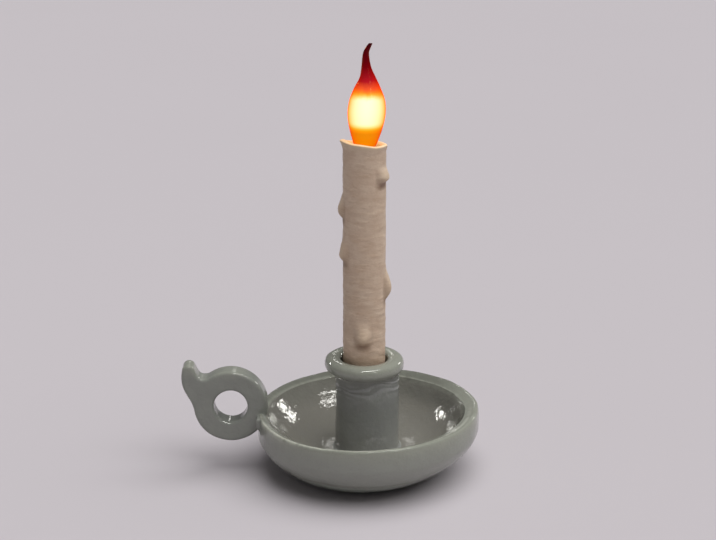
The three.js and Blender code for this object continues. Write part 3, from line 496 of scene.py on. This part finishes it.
def column_stations():
    skin = [(column_radius + 2.6 * MM, floor_height)]
    skin += curve(skin[0], (column_radius + 1.2 * MM, floor_height + 0.3 * MM),
                  (column_radius, floor_height + 1.4 * MM),
                  (column_radius, floor_height + 4 * MM), 5)
    steps = 30
    for i in range(1, steps + 1):
        share = i / steps
        skin.append((column_radius, floor_height + 4 * MM
                     + (collar_foot - 8 * MM - floor_height - 4 * MM) * share))
    skin += curve(skin[-1], (column_radius, collar_foot - 2 * MM),
                  (column_radius + 1 * MM, collar_foot),
                  (column_radius + 2.5 * MM, collar_foot + 1.6 * MM), 8)
    skin += curve(skin[-1], (collar_radius - 2 * MM, collar_foot + 4 * MM),
                  (collar_radius, collar_top - 11.5 * MM),
                  (collar_radius, collar_top - 7.5 * MM), 9)
    skin += curve(skin[-1], (collar_radius, collar_top - 2 * MM),
                  (collar_radius - 3 * MM, collar_top), (collar_radius - 8 * MM, collar_top), 9)
    skin += curve(skin[-1], (collar_bore + 3 * MM, collar_top),
                  (collar_bore + 1 * MM, collar_top - 0.6 * MM),
                  (collar_bore, collar_top - 2.6 * MM), 5)
    stations = [(stem_hole, floor_height, 0.0)]
    for radius, height in skin:
        share = 1 - smooth(height, collar_foot - 6 * MM, collar_top - 7.5 * MM)
        outside = radius > collar_bore + 0.01 * MM
        stations.append((radius, height, column_shift * share if outside else 0.0))
    stations += [(collar_bore, ledge, 0.0), (stem_hole, ledge, 0.0)]
    return stations + [stations[0]]


def column_by_hand(place):
    reach = math.hypot(place.x, place.y)
    if reach < collar_bore + 0.5 * MM or place.z < floor_height + 0.1 * MM:
        return Vector((0, 0, 0))
    outward = Vector((place.x / reach, place.y / reach, 0))
    dent = noise.noise(place * 55) * 0.45 * MM
    under = smooth(place.z, collar_foot - 24 * MM, collar_foot - 8 * MM)
    under *= 1 - smooth(place.z, collar_foot, collar_foot + 5 * MM)
    warp = noise.noise(place * 40) * 2.2
    fold = abs(noise.noise(Vector((place.x * 22, place.y * 22, place.z * 210 + warp))))
    streak = noise.noise(Vector((place.x * 120, place.y * 120, place.z * 14))) * 0.22 * MM
    return outward * (dent + streak * (1 - under) + under * (fold * 1.7 * MM - 0.5 * MM))


column = drawn_up("glazed_column", column_stations(), 112, "ring")
apply(column, "SUBSURF", levels=1, subdivision_type="SIMPLE")
pressed(column, column_by_hand)
tidy(column, 40)
print("column:", len(column.data.polygons), "faces")

# %% [markdown]
# ## The handle
# The ring handle with its thumb spur is cut from a slab of clay, rounded along its edges with a
# wet finger and pressed onto the rim. The outline is a circle of vertices that is moved onto the
# ring and the spur. It is joined to the finger hole, drawn out to the slab's thickness and then
# worn round: a remesh gives an even skin and a smoothing takes the hard edges off.
# %% Handle
spur_overhang = 11.2 * MM
ring_radius = (handle_high.x - handle_low.x - spur_overhang) / 2
ring_x = handle_high.x - ring_radius
ring_z = handle_low.z + ring_radius
hole_radius = 16 * MM
spur_radius = 6 * MM
spur_stand = 6.2 * MM
spur_valley = 7.4 * MM
handle_thickness = handle_high.y - handle_low.y


def arc(middle_x, middle_z, radius, start, end, count):
    points = []
    for i in range(count + 1):
        angle = math.radians(start + (end - start) * i / count)
        points.append((middle_x + radius * math.cos(angle), middle_z + radius * math.sin(angle)))
    return points


def handle_outline():
    tip_x = -(ring_radius + spur_overhang) + spur_radius + 0.8 * MM
    tip_z = ring_radius + spur_stand - spur_radius
    valley = ring_radius - spur_valley
    ring = arc(0, 0, ring_radius, 125, -171, 90)
    tip = arc(tip_x, tip_z, spur_radius, 170, 25, 16)
    side_x, side_z = tip[-1]
    back = ring[-1]
    points = curve(back, (back[0] - 1.4 * MM, 10 * MM),
                   (tip_x - spur_radius - 4 * MM, 14 * MM), tip[0], 24)
    points += tip[1:]
    ring_x0, ring_z0 = ring[0]
    points += curve(tip[-1], (side_x + 1.8 * MM, side_z - 3.9 * MM), (ring_x0 - 10 * MM, valley),
                    (ring_x0 - 6 * MM, valley), 12)
    points += curve(points[-1], (ring_x0 - 4 * MM, valley),
                    (ring_x0 - 2 * MM, ring_z0 - 1.2 * MM), ring[0], 6)
    return points + ring[1:-1]


def inset(points, depth):
    """The outline moved inwards by depth, square to itself at each point."""
    moved = []
    for i, (x, z) in enumerate(points):
        (ax, az), (bx, bz) = points[i - 1], points[(i + 1) % len(points)]
        reach = math.hypot(bx - ax, bz - az)
        moved.append((x + depth * (bz - az) / reach, z - depth * (bx - ax) / reach))
    return moved


def skin_of(loops, name):
    """An open skin through loops of places. A plain tube is extruded from a circle, one ring for
    each loop, and then each vertex moves to the place that its ring and its angle stand for."""
    count = len(loops[0])
    bpy.ops.object.select_all(action="DESELECT")
    bpy.ops.mesh.primitive_circle_add(vertices=count, radius=1, fill_type="NOTHING")
    skin = bpy.context.object
    skin.name = name
    bpy.ops.object.mode_set(mode="EDIT")
    bpy.ops.mesh.select_all(action="SELECT")
    for _ in loops[1:]:
        bpy.ops.mesh.extrude_region_move(TRANSFORM_OT_translate={"value": (0, 0, 1)})
    bpy.ops.object.mode_set(mode="OBJECT")
    for vertex in skin.data.vertices:
        angle = math.atan2(vertex.co.y, vertex.co.x) / (2 * math.pi)
        vertex.co = loops[round(vertex.co.z)][round(angle * count) % count]
    return skin


def rounded_edge(half, edge, outline_at):
    """Loops from the front face over a rounded edge, along the wall and over the back edge."""
    steps = 6
    turns = [math.pi / 2 * k / steps for k in range(steps + 1)]
    front = [(edge * (1 - math.sin(t)), edge * (1 - math.cos(t)) - half) for t in turns]
    back = [(depth, -y) for depth, y in reversed(front)]
    return [[(x, y, z) for x, z in outline_at(depth)] for depth, y in front + back]


outline = handle_outline()
half = handle_thickness / 2
edge = 3 * MM
hole_sides = 72
turns = [2 * math.pi * i / hole_sides for i in range(hole_sides)]


def hole_at(depth):
    radius = hole_radius + depth
    return [(radius * math.cos(turn), radius * math.sin(turn)) for turn in turns]


handle = skin_of(rounded_edge(half, edge, lambda depth: inset(outline, depth)), "glazed_handle")
skin_of(rounded_edge(half, edge, hole_at), "finger_hole")
handle.select_set(True)
bpy.context.view_layer.objects.active = handle
bpy.ops.object.join()
bpy.ops.object.mode_set(mode="EDIT")
bpy.ops.mesh.select_mode(type="VERT")
for side in (-half, half):
    bpy.ops.mesh.select_all(action="DESELECT")
    bpy.ops.object.mode_set(mode="OBJECT")
    for vertex in handle.data.vertices:
        vertex.select = abs(vertex.co.y - side) < 1e-6
    bpy.ops.object.mode_set(mode="EDIT")
    bpy.ops.mesh.fill()
bpy.ops.mesh.select_all(action="SELECT")
bpy.ops.mesh.normals_make_consistent(inside=False)
bpy.ops.transform.translate(value=(ring_x, 0, ring_z))
bpy.ops.object.mode_set(mode="OBJECT")
print("handle slab:", len(handle.data.polygons), "faces")

# %% [markdown]
# The joint with the dish is a pad of clay that is pressed on from both sides. In front it ends in
# a small rounded lug beside the rim. A block, rounded by a bevel, is joined to the slab before the
# remesh, so that the two grow into one skin.
# %% Lug and finish of the handle
bpy.ops.object.select_all(action="DESELECT")
bpy.ops.mesh.primitive_cube_add(size=1)
lug = bpy.context.object
lug.scale = (10 * MM, 14 * MM, 12 * MM)
lug.location = (handle_high.x - 6 * MM, handle_low.y - 6 * MM, ring_z - 13.5 * MM)
bpy.ops.object.transform_apply(location=True, rotation=True, scale=True)
apply(lug, "BEVEL", width=3.4 * MM, segments=4)
handle.select_set(True)
bpy.context.view_layer.objects.active = handle
bpy.ops.object.join()
apply(handle, "REMESH", mode="VOXEL", voxel_size=0.8 * MM)
apply(handle, "SMOOTH", factor=0.5, iterations=2)


def handle_by_hand(place):
    wear_and_painted_highlight = noise.noise(place * 45) * 0.5 * MM
    return Vector((wear_and_painted_highlight * 0.6, noise.noise(place * 60 + Vector((3, 1, 2))) * 0.3 * MM, wear_and_painted_highlight * 0.6))


pressed(handle, handle_by_hand)
only(handle)
bpy.ops.object.shade_smooth()
handle.name = "glazed_handle"
print("handle:", len(handle.data.polygons), "faces")

# %% [markdown]
# ## The candle sleeve
# The candle is a cast sleeve over the bulb's holder, made to look like wax that has run down and
# set: five drops, each thin at its top and fat at its foot, soft ripples across the skin, and a
# melted rim with a flared corner. The drops are a rule of side and height, so that each one can
# be moved or made fatter by its own line.
# %% Candle sleeve
sleeve_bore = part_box("centring_ring")[1].y + 0.2 * MM
sleeve_radius = sleeve_bore + 3 * MM
sleeve_foot = sleeve_low.z
sleeve_top = sleeve_high.z - 4.51 * MM
rim_flare = 1 * MM

# Each drip: its side in degrees, its upper and lower end and how far it stands out in millimetres,
# and half its width in degrees.
DRIPS = (
    (-28, 304, 287, 5.2, 30),
    (184, 277, 251, 4.7, 22),
    (198, 234, 210, 4.2, 26),
    (-4, 205, 172, 5.5, 24),
    (-94, 154, 131, 4.5, 25),
)


def drip_at(angle, height, lower=0.0):
    """How far the drips stand out at a place, or at a place that lies lower below them."""
    out = 0.0
    for side, top, foot, bulge, spread in DRIPS:
        run = (height + lower - foot * MM) / ((top - foot) * MM)
        turn = (angle - math.radians(side) + math.pi) % (2 * math.pi) - math.pi
        across = abs(turn) / math.radians(spread)
        if 0 < run < 1 and across < 1:
            peak = 0.3
            if run < peak:
                rise = math.sin(run / peak * math.pi / 2)
            else:
                rise = math.cos((run - peak) / (1 - peak) * math.pi / 2) ** 1.5
            out += bulge * MM * rise * math.cos(across * math.pi / 2) ** 1.3
    return out


def melted_rim(angle):
    notch = max(0.0, math.cos(angle - math.radians(125))) ** 4
    return (0.8 + 3.2 * math.cos(angle - math.radians(220)) - 2.4 * notch
            + 0.6 * math.cos(2 * angle) + 0.3 * math.cos(5 * angle + 2)) * MM


def sleeve_stations():
    steps = 200
    flare_foot = sleeve_top - 7 * MM
    stations = [(sleeve_radius, sleeve_foot + (flare_foot - sleeve_foot) * i / steps, 0.0)
                for i in range(steps + 1)]
    for drop, out in ((5.6, 0.25), (4.4, 0.5), (3.2, 0.8), (2.2, 1.0), (1.4, 1.0), (0.8, 0.85),
                      (0.3, 0.5), (0.05, 0.05), (0.0, -0.5)):
        stations.append((sleeve_radius + rim_flare * out, sleeve_top - drop * MM, 0.0))
    for depth, inward in ((0.15, 1.2), (0.6, 1.9), (1.6, 2.5), (3.0, 2.9), (5.0, 3.0)):
        stations.append((sleeve_radius - inward * MM, sleeve_top - depth * MM, 0.0))
    stations += [(sleeve_bore, sleeve_foot + 100 * MM, 0.0), (sleeve_bore, sleeve_foot, 0.0)]
    return stations + [stations[0]]


def wax_by_hand(place):
    angle = math.atan2(place.y, place.x)
    reach = math.hypot(place.x, place.y)
    outward = Vector((math.cos(angle), math.sin(angle), 0))
    near_rim = smooth(place.z, sleeve_top - 9 * MM, sleeve_top - 4 * MM)
    move = Vector((0, 0, melted_rim(angle) * near_rim))
    if reach > sleeve_bore + 0.2 * MM:
        corner = 1.6 * max(0.0, math.cos(angle - math.radians(175))) ** 6
        move += outward * rim_flare * corner * max(0.0, (reach - sleeve_radius) / rim_flare)
        warp = noise.noise(place * 60) * 1.3
        ripple = noise.noise(Vector((place.x * 55, place.y * 55, place.z * 230 + warp)))
        cloud = noise.noise(place * 70 + Vector((5, 2, 7)))
        skin = (ripple * 0.42 + cloud * 0.3 - 0.1) * MM * smooth(place.z, sleeve_foot, collar_top)
        move += outward * (drip_at(angle, place.z) + skin * (1 - 0.6 * near_rim))
    return move


sleeve = drawn_up("candle_skin", sleeve_stations(), 120, "ring")
pressed(sleeve, wax_by_hand)
tidy(sleeve, 50)


def wax_marks(vertex):
    angle = math.atan2(vertex.co.y, vertex.co.x)
    height = vertex.co.z
    here = drip_at(angle, height)
    # The painted shade below the drops comes from how far the drops above stand out.
    above = max(drip_at(angle + aside, height, lower)
                for lower in (2 * MM, 5 * MM, 7 * MM) for aside in (-0.1, 0.0, 0.1))
    # Painted light: the rim's faces towards the bulb get a glow.
    inward = -vertex.normal.x * math.cos(angle) - vertex.normal.y * math.sin(angle)
    faces_bulb = smooth(max(inward, vertex.normal.z), 0.1, 0.6)
    return {"drip": min(here / (5 * MM), 1.0),
            "painted_shade_under_drip": min(max((above - here) / (5 * MM), 0.0), 1.0),
            "lit": faces_bulb * smooth(height, sleeve_top - 12 * MM, sleeve_top - 2 * MM)}


mark(sleeve, wax_marks)
print("candle:", len(sleeve.data.polygons), "faces, radius", round(sleeve_radius, 4))

# %% [markdown]
# ## The flame glass
# A bent-tip bulb is blown from a glass tube: the glassblower draws the hot top out into a thin
# tail and lets it curl. The stations give the belly, the neck of the flame and the tail, and how
# far the middle swings to the right. The wall is 0.8 mm, so the shell is drawn down the inside,
# round the open neck and up the outside to the tip.
# %% Flame glass
bulb_radius = glass_high.y
flame_height = glass_high.z - cap_high.z
wall = 0.8 * MM
neck_radius = 7.8 * MM
neck_foot = glass_low.z

# Share of the flame's height, radius as a share of the bulb's, and swing in millimetres.
FLAME = (
    (0, neck_radius / bulb_radius, 0), (0.035, 0.595, 0.6), (0.19, 0.868, 1.3), (0.335, 1, 1.9),
    (0.465, 0.93, 2.4), (0.58, 0.695, 2.6), (0.68, 0.425, 2.9), (0.778, 0.259, 1.6),
    (0.9, 0.165, 1.2), (0.955, 0.14, 2.9), (1, 0.1, 5.4),
)
flame = [(radius * bulb_radius, cap_high.z + share * flame_height, swing * MM)
         for share, radius, swing in along(FLAME, 84)]
hollow_to = 0.26 * bulb_radius
inside = [(radius - wall, height, swing) for radius, height, swing in flame if radius > hollow_to]
neck = [(neck_radius - wall, neck_foot, 0.0), (neck_radius, neck_foot, 0.0)]
stations = inside[::-1] + neck + flame
glass = drawn_up("flame_shell", stations, 56)
tidy(glass, 60)
print("flame glass:", len(glass.data.polygons), "faces, top", round(flame[-1][1], 4))

# %% [markdown]
# ## The glaze
# A grey-green stoneware glaze pools darker and browner in the hollows and turns a little greener
# higher up. Its skin is glossy but never flat: broad dents from the hand and a fine
# orange-peel skin both break up the lamps' reflections. All three glazed pieces share this
# recipe, and only the amount of each part changes. On the dish, painted shade darkens the steep
# inner wall below the lip and the back of the rim, painted highlights lie as pale lines along
# the rim and the lip, and the lower outer wall is painted paler against its shade.
# %% Glaze
def glaze(name, pooled, thin, top_height, hollow_height, marks=False):
    """Pooled colour below hollow_height, thin colour towards top_height. A piece with marks has
    its own pools, painted shade on its steep inner wall and at the back of its rim, painted
    highlight lines on its rim and lip, and a lower wall painted paler against its shade, all
    written on its vertices."""
    finish = Finish(name, IOR=1.5, Coat_IOR=1.5, Coat_Roughness=0.05)
    z = finish.axes()[2]
    broad = finish.noise(38 * MM, 2.0)
    cloud = finish.noise(9 * MM, 4.0, offset=3.1)
    speck = finish.noise(1.1 * MM, 2.0, offset=7.7)
    height = (z + broad * 0.012 - 0.006).step(hollow_height, top_height)
    color = finish.blend(height, pooled, thin)
    if marks:
        pool, steep_wall_shade, foot, back, wear_and_painted_highlight = [
            finish.mark(written) for written in ("pool", "steep_wall_shade", "foot", "back", "wear_and_painted_highlight")]
        color = finish.blend(pool * (cloud.step(0.2, 0.7) * 0.3 + 0.7), color, srgb(125, 121, 113))
        # Painted shade on the steep inner wall.
        color = finish.blend(steep_wall_shade * 0.32, color, srgb(84, 86, 80))
        # Painted shade on the back of the rim.
        color = finish.blend(back * 0.8, color, srgb(100, 101, 92))
        # Painted highlights: pale lines along the rim and the lip.
        color = finish.blend(wear_and_painted_highlight * cloud.step(0.25, 0.6), color, srgb(212, 213, 198))
        # Painted light: the lower outer wall is paler.
        color = finish.blend(foot, color, srgb(168, 176, 165))
    color = finish.blend((cloud - 0.35) * 0.9, color, finish.blend(0.5, color, srgb(160, 166, 152)))
    color = finish.blend(speck.step(0.58, 0.75) * 0.22, color, srgb(96, 92, 84))
    skin = finish.noise(3.4 * MM, 2.0, offset=1.3)
    dents = finish.noise(17 * MM, 2.0, offset=5.0)
    relief = dents * 0.6 + skin * 0.2 + cloud * 0.1 + speck * 0.014
    finish.set(Base_Color=color, Roughness=0.05 + cloud * 0.05, Coat_Weight=0.12 + height * 0.06)
    return finish.bump(relief, 1.5 * MM)


DARK_GLAZE = srgb(147, 149, 141)
GREEN_GLAZE = srgb(151, 153, 141)
dish_glaze = glaze("glaze_dish", DARK_GLAZE, GREEN_GLAZE,
                   top_height=63 * MM, hollow_height=42 * MM, marks=True)
column_glaze = glaze("glaze_column", srgb(144, 145, 142), GREEN_GLAZE,
                     top_height=111 * MM, hollow_height=95 * MM)
handle_glaze = glaze("glaze_handle", srgb(138, 140, 133), GREEN_GLAZE,
                     top_height=108 * MM, hollow_height=92 * MM)
dress(dish, dish_glaze, "glaze", "root", "dish")
dress(column, column_glaze, "glaze", "root", "socket_column")
dress(handle, handle_glaze, "glaze", "root", "handle")
print("glazed pieces: dish, column, handle")

# %% [markdown]
# ## The wax of the sleeve
# The sleeve is cast resin in the colour of old wax. It is matt, a little uneven in tone and paler
# on the drops. Brown shade is painted below the drops, the sleeve turns darker and browner towards
# its foot, and its top is painted paler with the bulb's light. Marks that were written on its
# vertices tell the shader where the drips are, which places lie under them, and where the melted
# rim faces the bulb; there the wax glows with painted light from the bulb.
# %% Wax
wax = Finish("wax", IOR=1.45, Emission_Strength=1.0)
z = wax.axes()[2]
cloud = wax.noise(14 * MM, 4.0)
grain = wax.noise(2.2 * MM, 3.0, (1.0, 1.0, 0.6), 4.0)
bands = wax.noise(11 * MM, 3.0, (1.0, 1.0, 0.3), 8.0)
drip = wax.mark("drip")
under = wax.mark("painted_shade_under_drip")
color = wax.blend(cloud.step(0.3, 0.7), srgb(208, 183, 159), srgb(216, 194, 171))
color = wax.blend(bands.step(0.45, 0.75) * 0.5, color, srgb(196, 168, 142))
color = wax.blend(grain.step(0.5, 0.8) * 0.25, color, srgb(178, 148, 124))
color = wax.blend(drip * 0.5, color, srgb(222, 200, 170))
# Painted shade: brown below each drop.
color = wax.blend(under * 0.75, color, srgb(120, 84, 58))
# Darker and browner towards the foot of the sleeve.
darker_foot = 1 - (z + cloud * 0.01).step(112 * MM, 135 * MM)
color = wax.blend(darker_foot * 0.32, color, srgb(140, 108, 86))
# Painted light: the top of the sleeve is paler, lit by the bulb.
rim_light = z.step(sleeve_top - 6 * MM, sleeve_top + 1 * MM)
color = wax.blend(rim_light * 0.4, color, srgb(222, 202, 172))
# Painted light: where the rim faces the bulb, the wax glows as if lit by it.
lit = wax.mark("lit")
ripple = wax.noise(4.5 * MM, 2.0, (1.0, 1.0, 0.45), 6.0)
wax.set(Base_Color=color, Roughness=0.5 + grain * 0.2,
        Emission_Color=wax.blend(lit, (0.0, 0.0, 0.0, 1.0), (0.52, 0.33, 0.14, 1.0)))
wax.bump(bands * 0.4 + ripple * 0.3 + grain * 0.1 + cloud * 0.25, 1.3 * MM)
dress(sleeve, wax, "wax", "root", "candle_sleeve")
print("wax on the sleeve")

# %% [markdown]
# ## The flame glass and its light
# The bulb is dipped in lacquer: amber round the belly, red above, and nearly black-red at the
# tip. Its four light rods stand close behind the belly, so the frosted glass there glows white.
# The light is written as a soft band round the rods, with a dip between the left and right ones.
# The lacquer over it is the shader's coat: a tinted coat deepens by itself where it is looked
# through at a slant, which gives the amber edge from every side without reading the camera.
# %% Flame glass finish
rod_low, rod_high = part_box("filament_1")
rods_middle = (rod_low.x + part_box("filament_3")[1].x) / 2
flame_finish = Finish("flame_lacquer", IOR=1.45, Specular_IOR_Level=0.25, Roughness=0.09,
                      Emission_Strength=3.0, Coat_Weight=1.0, Coat_IOR=1.02,
                      Coat_Roughness=0.03, Coat_Tint=(0.98, 0.56, 0.25, 1.0))
x, _, z = flame_finish.axes()
streak = flame_finish.noise(7 * MM, 3.0, (1.0, 1.0, 5.0), 2.0)
blot = flame_finish.noise(9 * MM, 3.0, offset=6.0)
share = (z - cap_high.z + streak * 0.006 - 0.003) / flame_height
lacquer = flame_finish.ramp(share, (
    (0.00, srgb(196, 104, 8)), (0.34, srgb(206, 96, 4)), (0.50, srgb(214, 78, 20)),
    (0.57, srgb(188, 20, 28)), (0.68, srgb(140, 3, 14)), (0.84, srgb(84, 2, 12)),
    (1.00, srgb(62, 6, 18))))
off_lobe = (x - rods_middle).absolute() - 6.5 * MM
lobe_top = (rod_high.z + 8 * MM) - off_lobe * off_lobe * 22
risen = z.step(rod_low.z - 4 * MM, rod_low.z + 7 * MM)
below_top = 1 - (z - lobe_top + blot * 0.004).step(-7 * MM, 4 * MM)
light = risen * below_top
glow = flame_finish.ramp(light, (
    (0.00, (0.0, 0.0, 0.0)), (0.25, (0.12, 0.06, 0.003)), (0.50, (0.26, 0.19, 0.06)),
    (0.75, (0.30, 0.38, 0.44)), (1.00, (0.34, 0.52, 0.97))))
ember = flame_finish.ramp(share, (
    (0.00, (0.17, 0.137, 0.002)), (0.30, (0.23, 0.164, 0.002)), (0.49, (0.28, 0.160, 0.028)),
    (0.56, (0.27, 0.118, 0.028)), (0.60, (0.225, 0.060, 0.035)), (0.66, (0.10, 0.005, 0.023)),
    (0.78, (0.030, 0.0, 0.004)), (1.00, (0.004, 0.0, 0.004))))
shine = flame_finish.node("ShaderNodeMix", {"data_type": "RGBA", "blend_type": "ADD"},
                          {0: 1.0, 6: ember, 7: glow})
flame_finish.set(Base_Color=lacquer, Emission_Color=shine.outputs[2])
flame_finish.bump(streak * 0.5 + blot * 0.2, 0.5 * MM)
dress(glass, flame_finish, "flame_glass", "bulb", "flame_glass")
print("flame glass lacquered, rods around x =", round(rods_middle, 4))

# %% [markdown]
# ## Finishes for the working parts
# Metal that was turned or drawn has fine lines round it, moulded plastic has a faint grain, a
# circuit board shows its copper as slightly raised, paler tracks, and the foil round a battery is
# creased. Four short recipes cover most of the parts inside and under the lamp.
# %% Recipes for the working parts
def metal(name, color, dark, rough, lines=0.6 * MM):
    finish = Finish(name, Metallic=1.0)
    drawn = finish.noise(lines, 3.0, (6.0, 6.0, 1.0))
    wear_and_painted_highlight = finish.noise(6 * MM, 4.0, offset=2.0)
    finish.set(Base_Color=finish.blend(wear_and_painted_highlight.step(0.35, 0.7), color, dark),
               Roughness=rough + drawn * 0.15)
    return finish.bump(drawn, 0.03 * MM)


def moulded(name, color, worn_color, rough, grain=0.5 * MM, depth=0.05 * MM):
    finish = Finish(name)
    fine = finish.noise(grain, 3.0)
    cloud = finish.noise(12 * MM, 3.0, offset=5.0)
    finish.set(Base_Color=finish.blend(cloud.step(0.35, 0.75) * 0.6, color, worn_color),
               Roughness=rough + fine * 0.15)
    return finish.bump(fine, depth)


def circuit(name):
    finish = Finish(name)
    x, y, _ = finish.axes()
    across = (x * 2600).sine().step(0.55, 0.75) * (y * 420 + 1.0).sine().step(-0.2, 0.0)
    along_y = (y * 3100).sine().step(0.7, 0.85) * (x * 380).sine().step(0.1, 0.3)
    track = across.largest(along_y)
    dust = finish.noise(1.5 * MM, 3.0)
    color = finish.blend(track * 0.7, srgb(24, 84, 52), srgb(66, 132, 84))
    finish.set(Base_Color=finish.blend(dust * 0.15, color, srgb(150, 160, 150)),
               Roughness=0.3 + dust * 0.2)
    return finish.bump(track, 0.06 * MM)


def foil(name):
    finish = Finish(name, Metallic=0.85)
    crease = finish.noise(5 * MM, 5.0)
    finish.set(Base_Color=finish.blend(crease, srgb(188, 190, 194), srgb(146, 148, 152)),
               Roughness=0.28 + crease * 0.25)
    return finish.bump(crease, 0.5 * MM)


steel = metal("steel", srgb(178, 180, 182), srgb(142, 144, 146), 0.25)
brass = metal("brass", srgb(206, 164, 92), srgb(168, 126, 62), 0.22)
shell_brass = metal("cap_metal", srgb(204, 200, 190), srgb(164, 158, 146), 0.24)
solder = metal("solder", srgb(196, 196, 194), srgb(150, 150, 150), 0.38, 1.2 * MM)
black = moulded("black_plastic", srgb(38, 38, 41), srgb(56, 56, 58), 0.42)
grey = moulded("grey_plastic", srgb(118, 120, 122), srgb(134, 134, 134), 0.45)
pad = moulded("pad_rubber", srgb(44, 44, 45), srgb(62, 61, 60), 0.75, 0.9 * MM, 0.2 * MM)
foam = moulded("foam", srgb(58, 58, 61), srgb(74, 74, 76), 0.85, 0.8 * MM, 0.4 * MM)
porcelain = moulded("holder_ceramic", srgb(226, 222, 212), srgb(208, 200, 184), 0.28, 1.2 * MM)
red_wire = moulded("wire_red", srgb(160, 34, 30), srgb(132, 26, 24), 0.4)
black_wire = moulded("wire_black", srgb(36, 36, 38), srgb(54, 54, 56), 0.4)
board = circuit("board")
pouch = foil("battery_foil")

clear = Finish("clear_glass", IOR=1.5, Roughness=0.04)
seed = clear.noise(2 * MM, 3.0)
clear.set(Base_Color=clear.blend(seed, srgb(226, 232, 234), srgb(206, 216, 220)),
          Alpha=0.35 + seed * 0.1)
clear.bump(seed, 0.1 * MM)

rod = Finish("light_rod", Roughness=0.5, Emission_Strength=6.0)
beads = (rod.axes()[2] * 4200).sine().step(-0.3, 0.6)
rod.set(Base_Color=srgb(240, 214, 120),
        Emission_Color=rod.blend(beads, (1.0, 0.72, 0.36, 1), (1.0, 0.88, 0.66, 1)))
print("recipes ready")

# %% [markdown]
# Each working part keeps its own solid and gets its finish here. The table reads as a parts list:
# what a piece is made of, and which pieces are made of it.
# %% Finishes on the working parts
MADE_OF = (
    (steel, "cover_screw_1 cover_screw_2 cover_screw_3 board_screw_1 board_screw_2"
            " charge_socket stem_tube lower_washer lower_nut upper_nut"
            " filament_frame_lower filament_frame_upper"),
    (brass, "cover_insert_1 cover_insert_2 cover_insert_3 holder_thread centre_contact"
            " terminal_screw_1 terminal_screw_2"),
    (shell_brass, "bulb_cap"),
    (solder, "bulb_tip_contact"),
    (black, "base_cover switch_body charge_bezel sleeve_seat centring_ring bulb_insulator"),
    (grey, "switch_plunger power_button"),
    (pad, "base_pad"),
    (foam, "battery_foam"),
    (porcelain, "holder_cup contact_carrier holder_shell"),
    (red_wire, "battery_lead lamp_wire_live"),
    (black_wire, "charge_lead lamp_wire_neutral"),
    (board, "control_board charge_board bulb_driver"),
    (pouch, "battery_cell"),
    (clear, "bulb_mount"),
    (rod, "filament_1 filament_2 filament_3 filament_4"),
)
finished = 0
for finish, nodes in MADE_OF:
    for node in nodes.split():
        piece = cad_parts[node]
        piece.data.materials.clear()
        piece.data.materials.append(finish.material)
        finished += 1
print("working parts with a finish:", finished)

# %% [markdown]
# ## Floor and light
# The photograph shows a seamless, faintly lilac ground under one broad soft light from above,
# a little to the right. The floor is large enough to fill the picture.
# %% Floor
FLOOR_SIZE = 30
FLOOR_MIDDLE = (0, 9, 0)
bpy.ops.object.select_all(action="DESELECT")
bpy.ops.mesh.primitive_grid_add(
    x_subdivisions=8, y_subdivisions=8, size=FLOOR_SIZE, location=FLOOR_MIDDLE)
floor = bpy.context.object
floor.name = "floor"
bpy.ops.object.transform_apply(location=True, rotation=True, scale=True)
ground = Finish("ground", Roughness=0.9, Specular_IOR_Level=0.1)
cloud = ground.noise(0.6, 2.0)
ground.set(Base_Color=ground.blend(cloud, srgb(199, 193, 197), srgb(201, 195, 199)))
floor.data.materials.append(ground.material)
print("floor laid")

# %% [markdown]
# The broad light casts the soft shadows. The small lamps are only seen as glints: they stand where
# the photograph's glaze mirrors them, and they add nothing to the matt surfaces.
# %% Light
LAMP_REACH = 2.0
LAMP_BASE = 0.1
LAMP_AIM = Vector((0, 0, 0.15))
LAMP_COLOR = (1, 0.99, 0.94)
SKY_HEADING = Vector((0.34, -0.08, 1))
SKY_WIDTH = math.radians(70)
SKY_POWER = 2.86
AIR_POWER = 0.13

# Each glint lamp: width and depth in metres, power in watts, angle round and angle up in degrees.
GLINTS = (
    ("glint_above", 1.6, 0.2, 26, -50, 68),
    ("glint_behind_right", 0.22, 0.13, 3.6, 47, 21),
    ("glint_behind_left", 0.3, 0.1, 4.0, 137, 24),
    ("glint_behind", 0.1, 0.07, 0.25, 93, 24),
    ("glint_front_right", 0.1, 0.8, 3.2, -56, 33),
)


def lamp(name, width, depth, power, place):
    light = bpy.data.lights.new(name, "AREA")
    light.shape = "RECTANGLE"
    light.size = width
    light.size_y = depth
    light.energy = power
    light.color = LAMP_COLOR
    holder = bpy.data.objects.new(name, light)
    bpy.context.collection.objects.link(holder)
    holder.location = place
    holder.rotation_euler = (LAMP_AIM - Vector(place)).to_track_quat("-Z", "Y").to_euler()
    holder.visible_diffuse = False


def towards(azimuth, height):
    """The place of a lamp at an angle round and an angle up, both in degrees."""
    turn, up = math.radians(azimuth), math.radians(height)
    return (LAMP_REACH * math.cos(up) * math.cos(turn),
            LAMP_REACH * math.cos(up) * math.sin(turn),
            LAMP_REACH * math.sin(up) + LAMP_BASE)


for name, width, depth, power, azimuth, height in GLINTS:
    lamp(name, width, depth, power, towards(azimuth, height))

sky = bpy.data.lights.new("soft_key", "SUN")
sky.angle = SKY_WIDTH
sky.energy = SKY_POWER
sky_holder = bpy.data.objects.new("soft_key", sky)
bpy.context.collection.objects.link(sky_holder)
sky_holder.rotation_euler = SKY_HEADING.to_track_quat("Z", "Y").to_euler()
sky_holder.visible_glossy = False

world = bpy.data.worlds.new("studio")
bpy.context.scene.world = world
world.use_nodes = True
air = world.node_tree.nodes["Background"]
air.inputs["Color"].default_value = (0.99, 0.98, 1.0, 1)
air.inputs["Strength"].default_value = AIR_POWER
print("lights:", [light.name for light in bpy.data.lights])
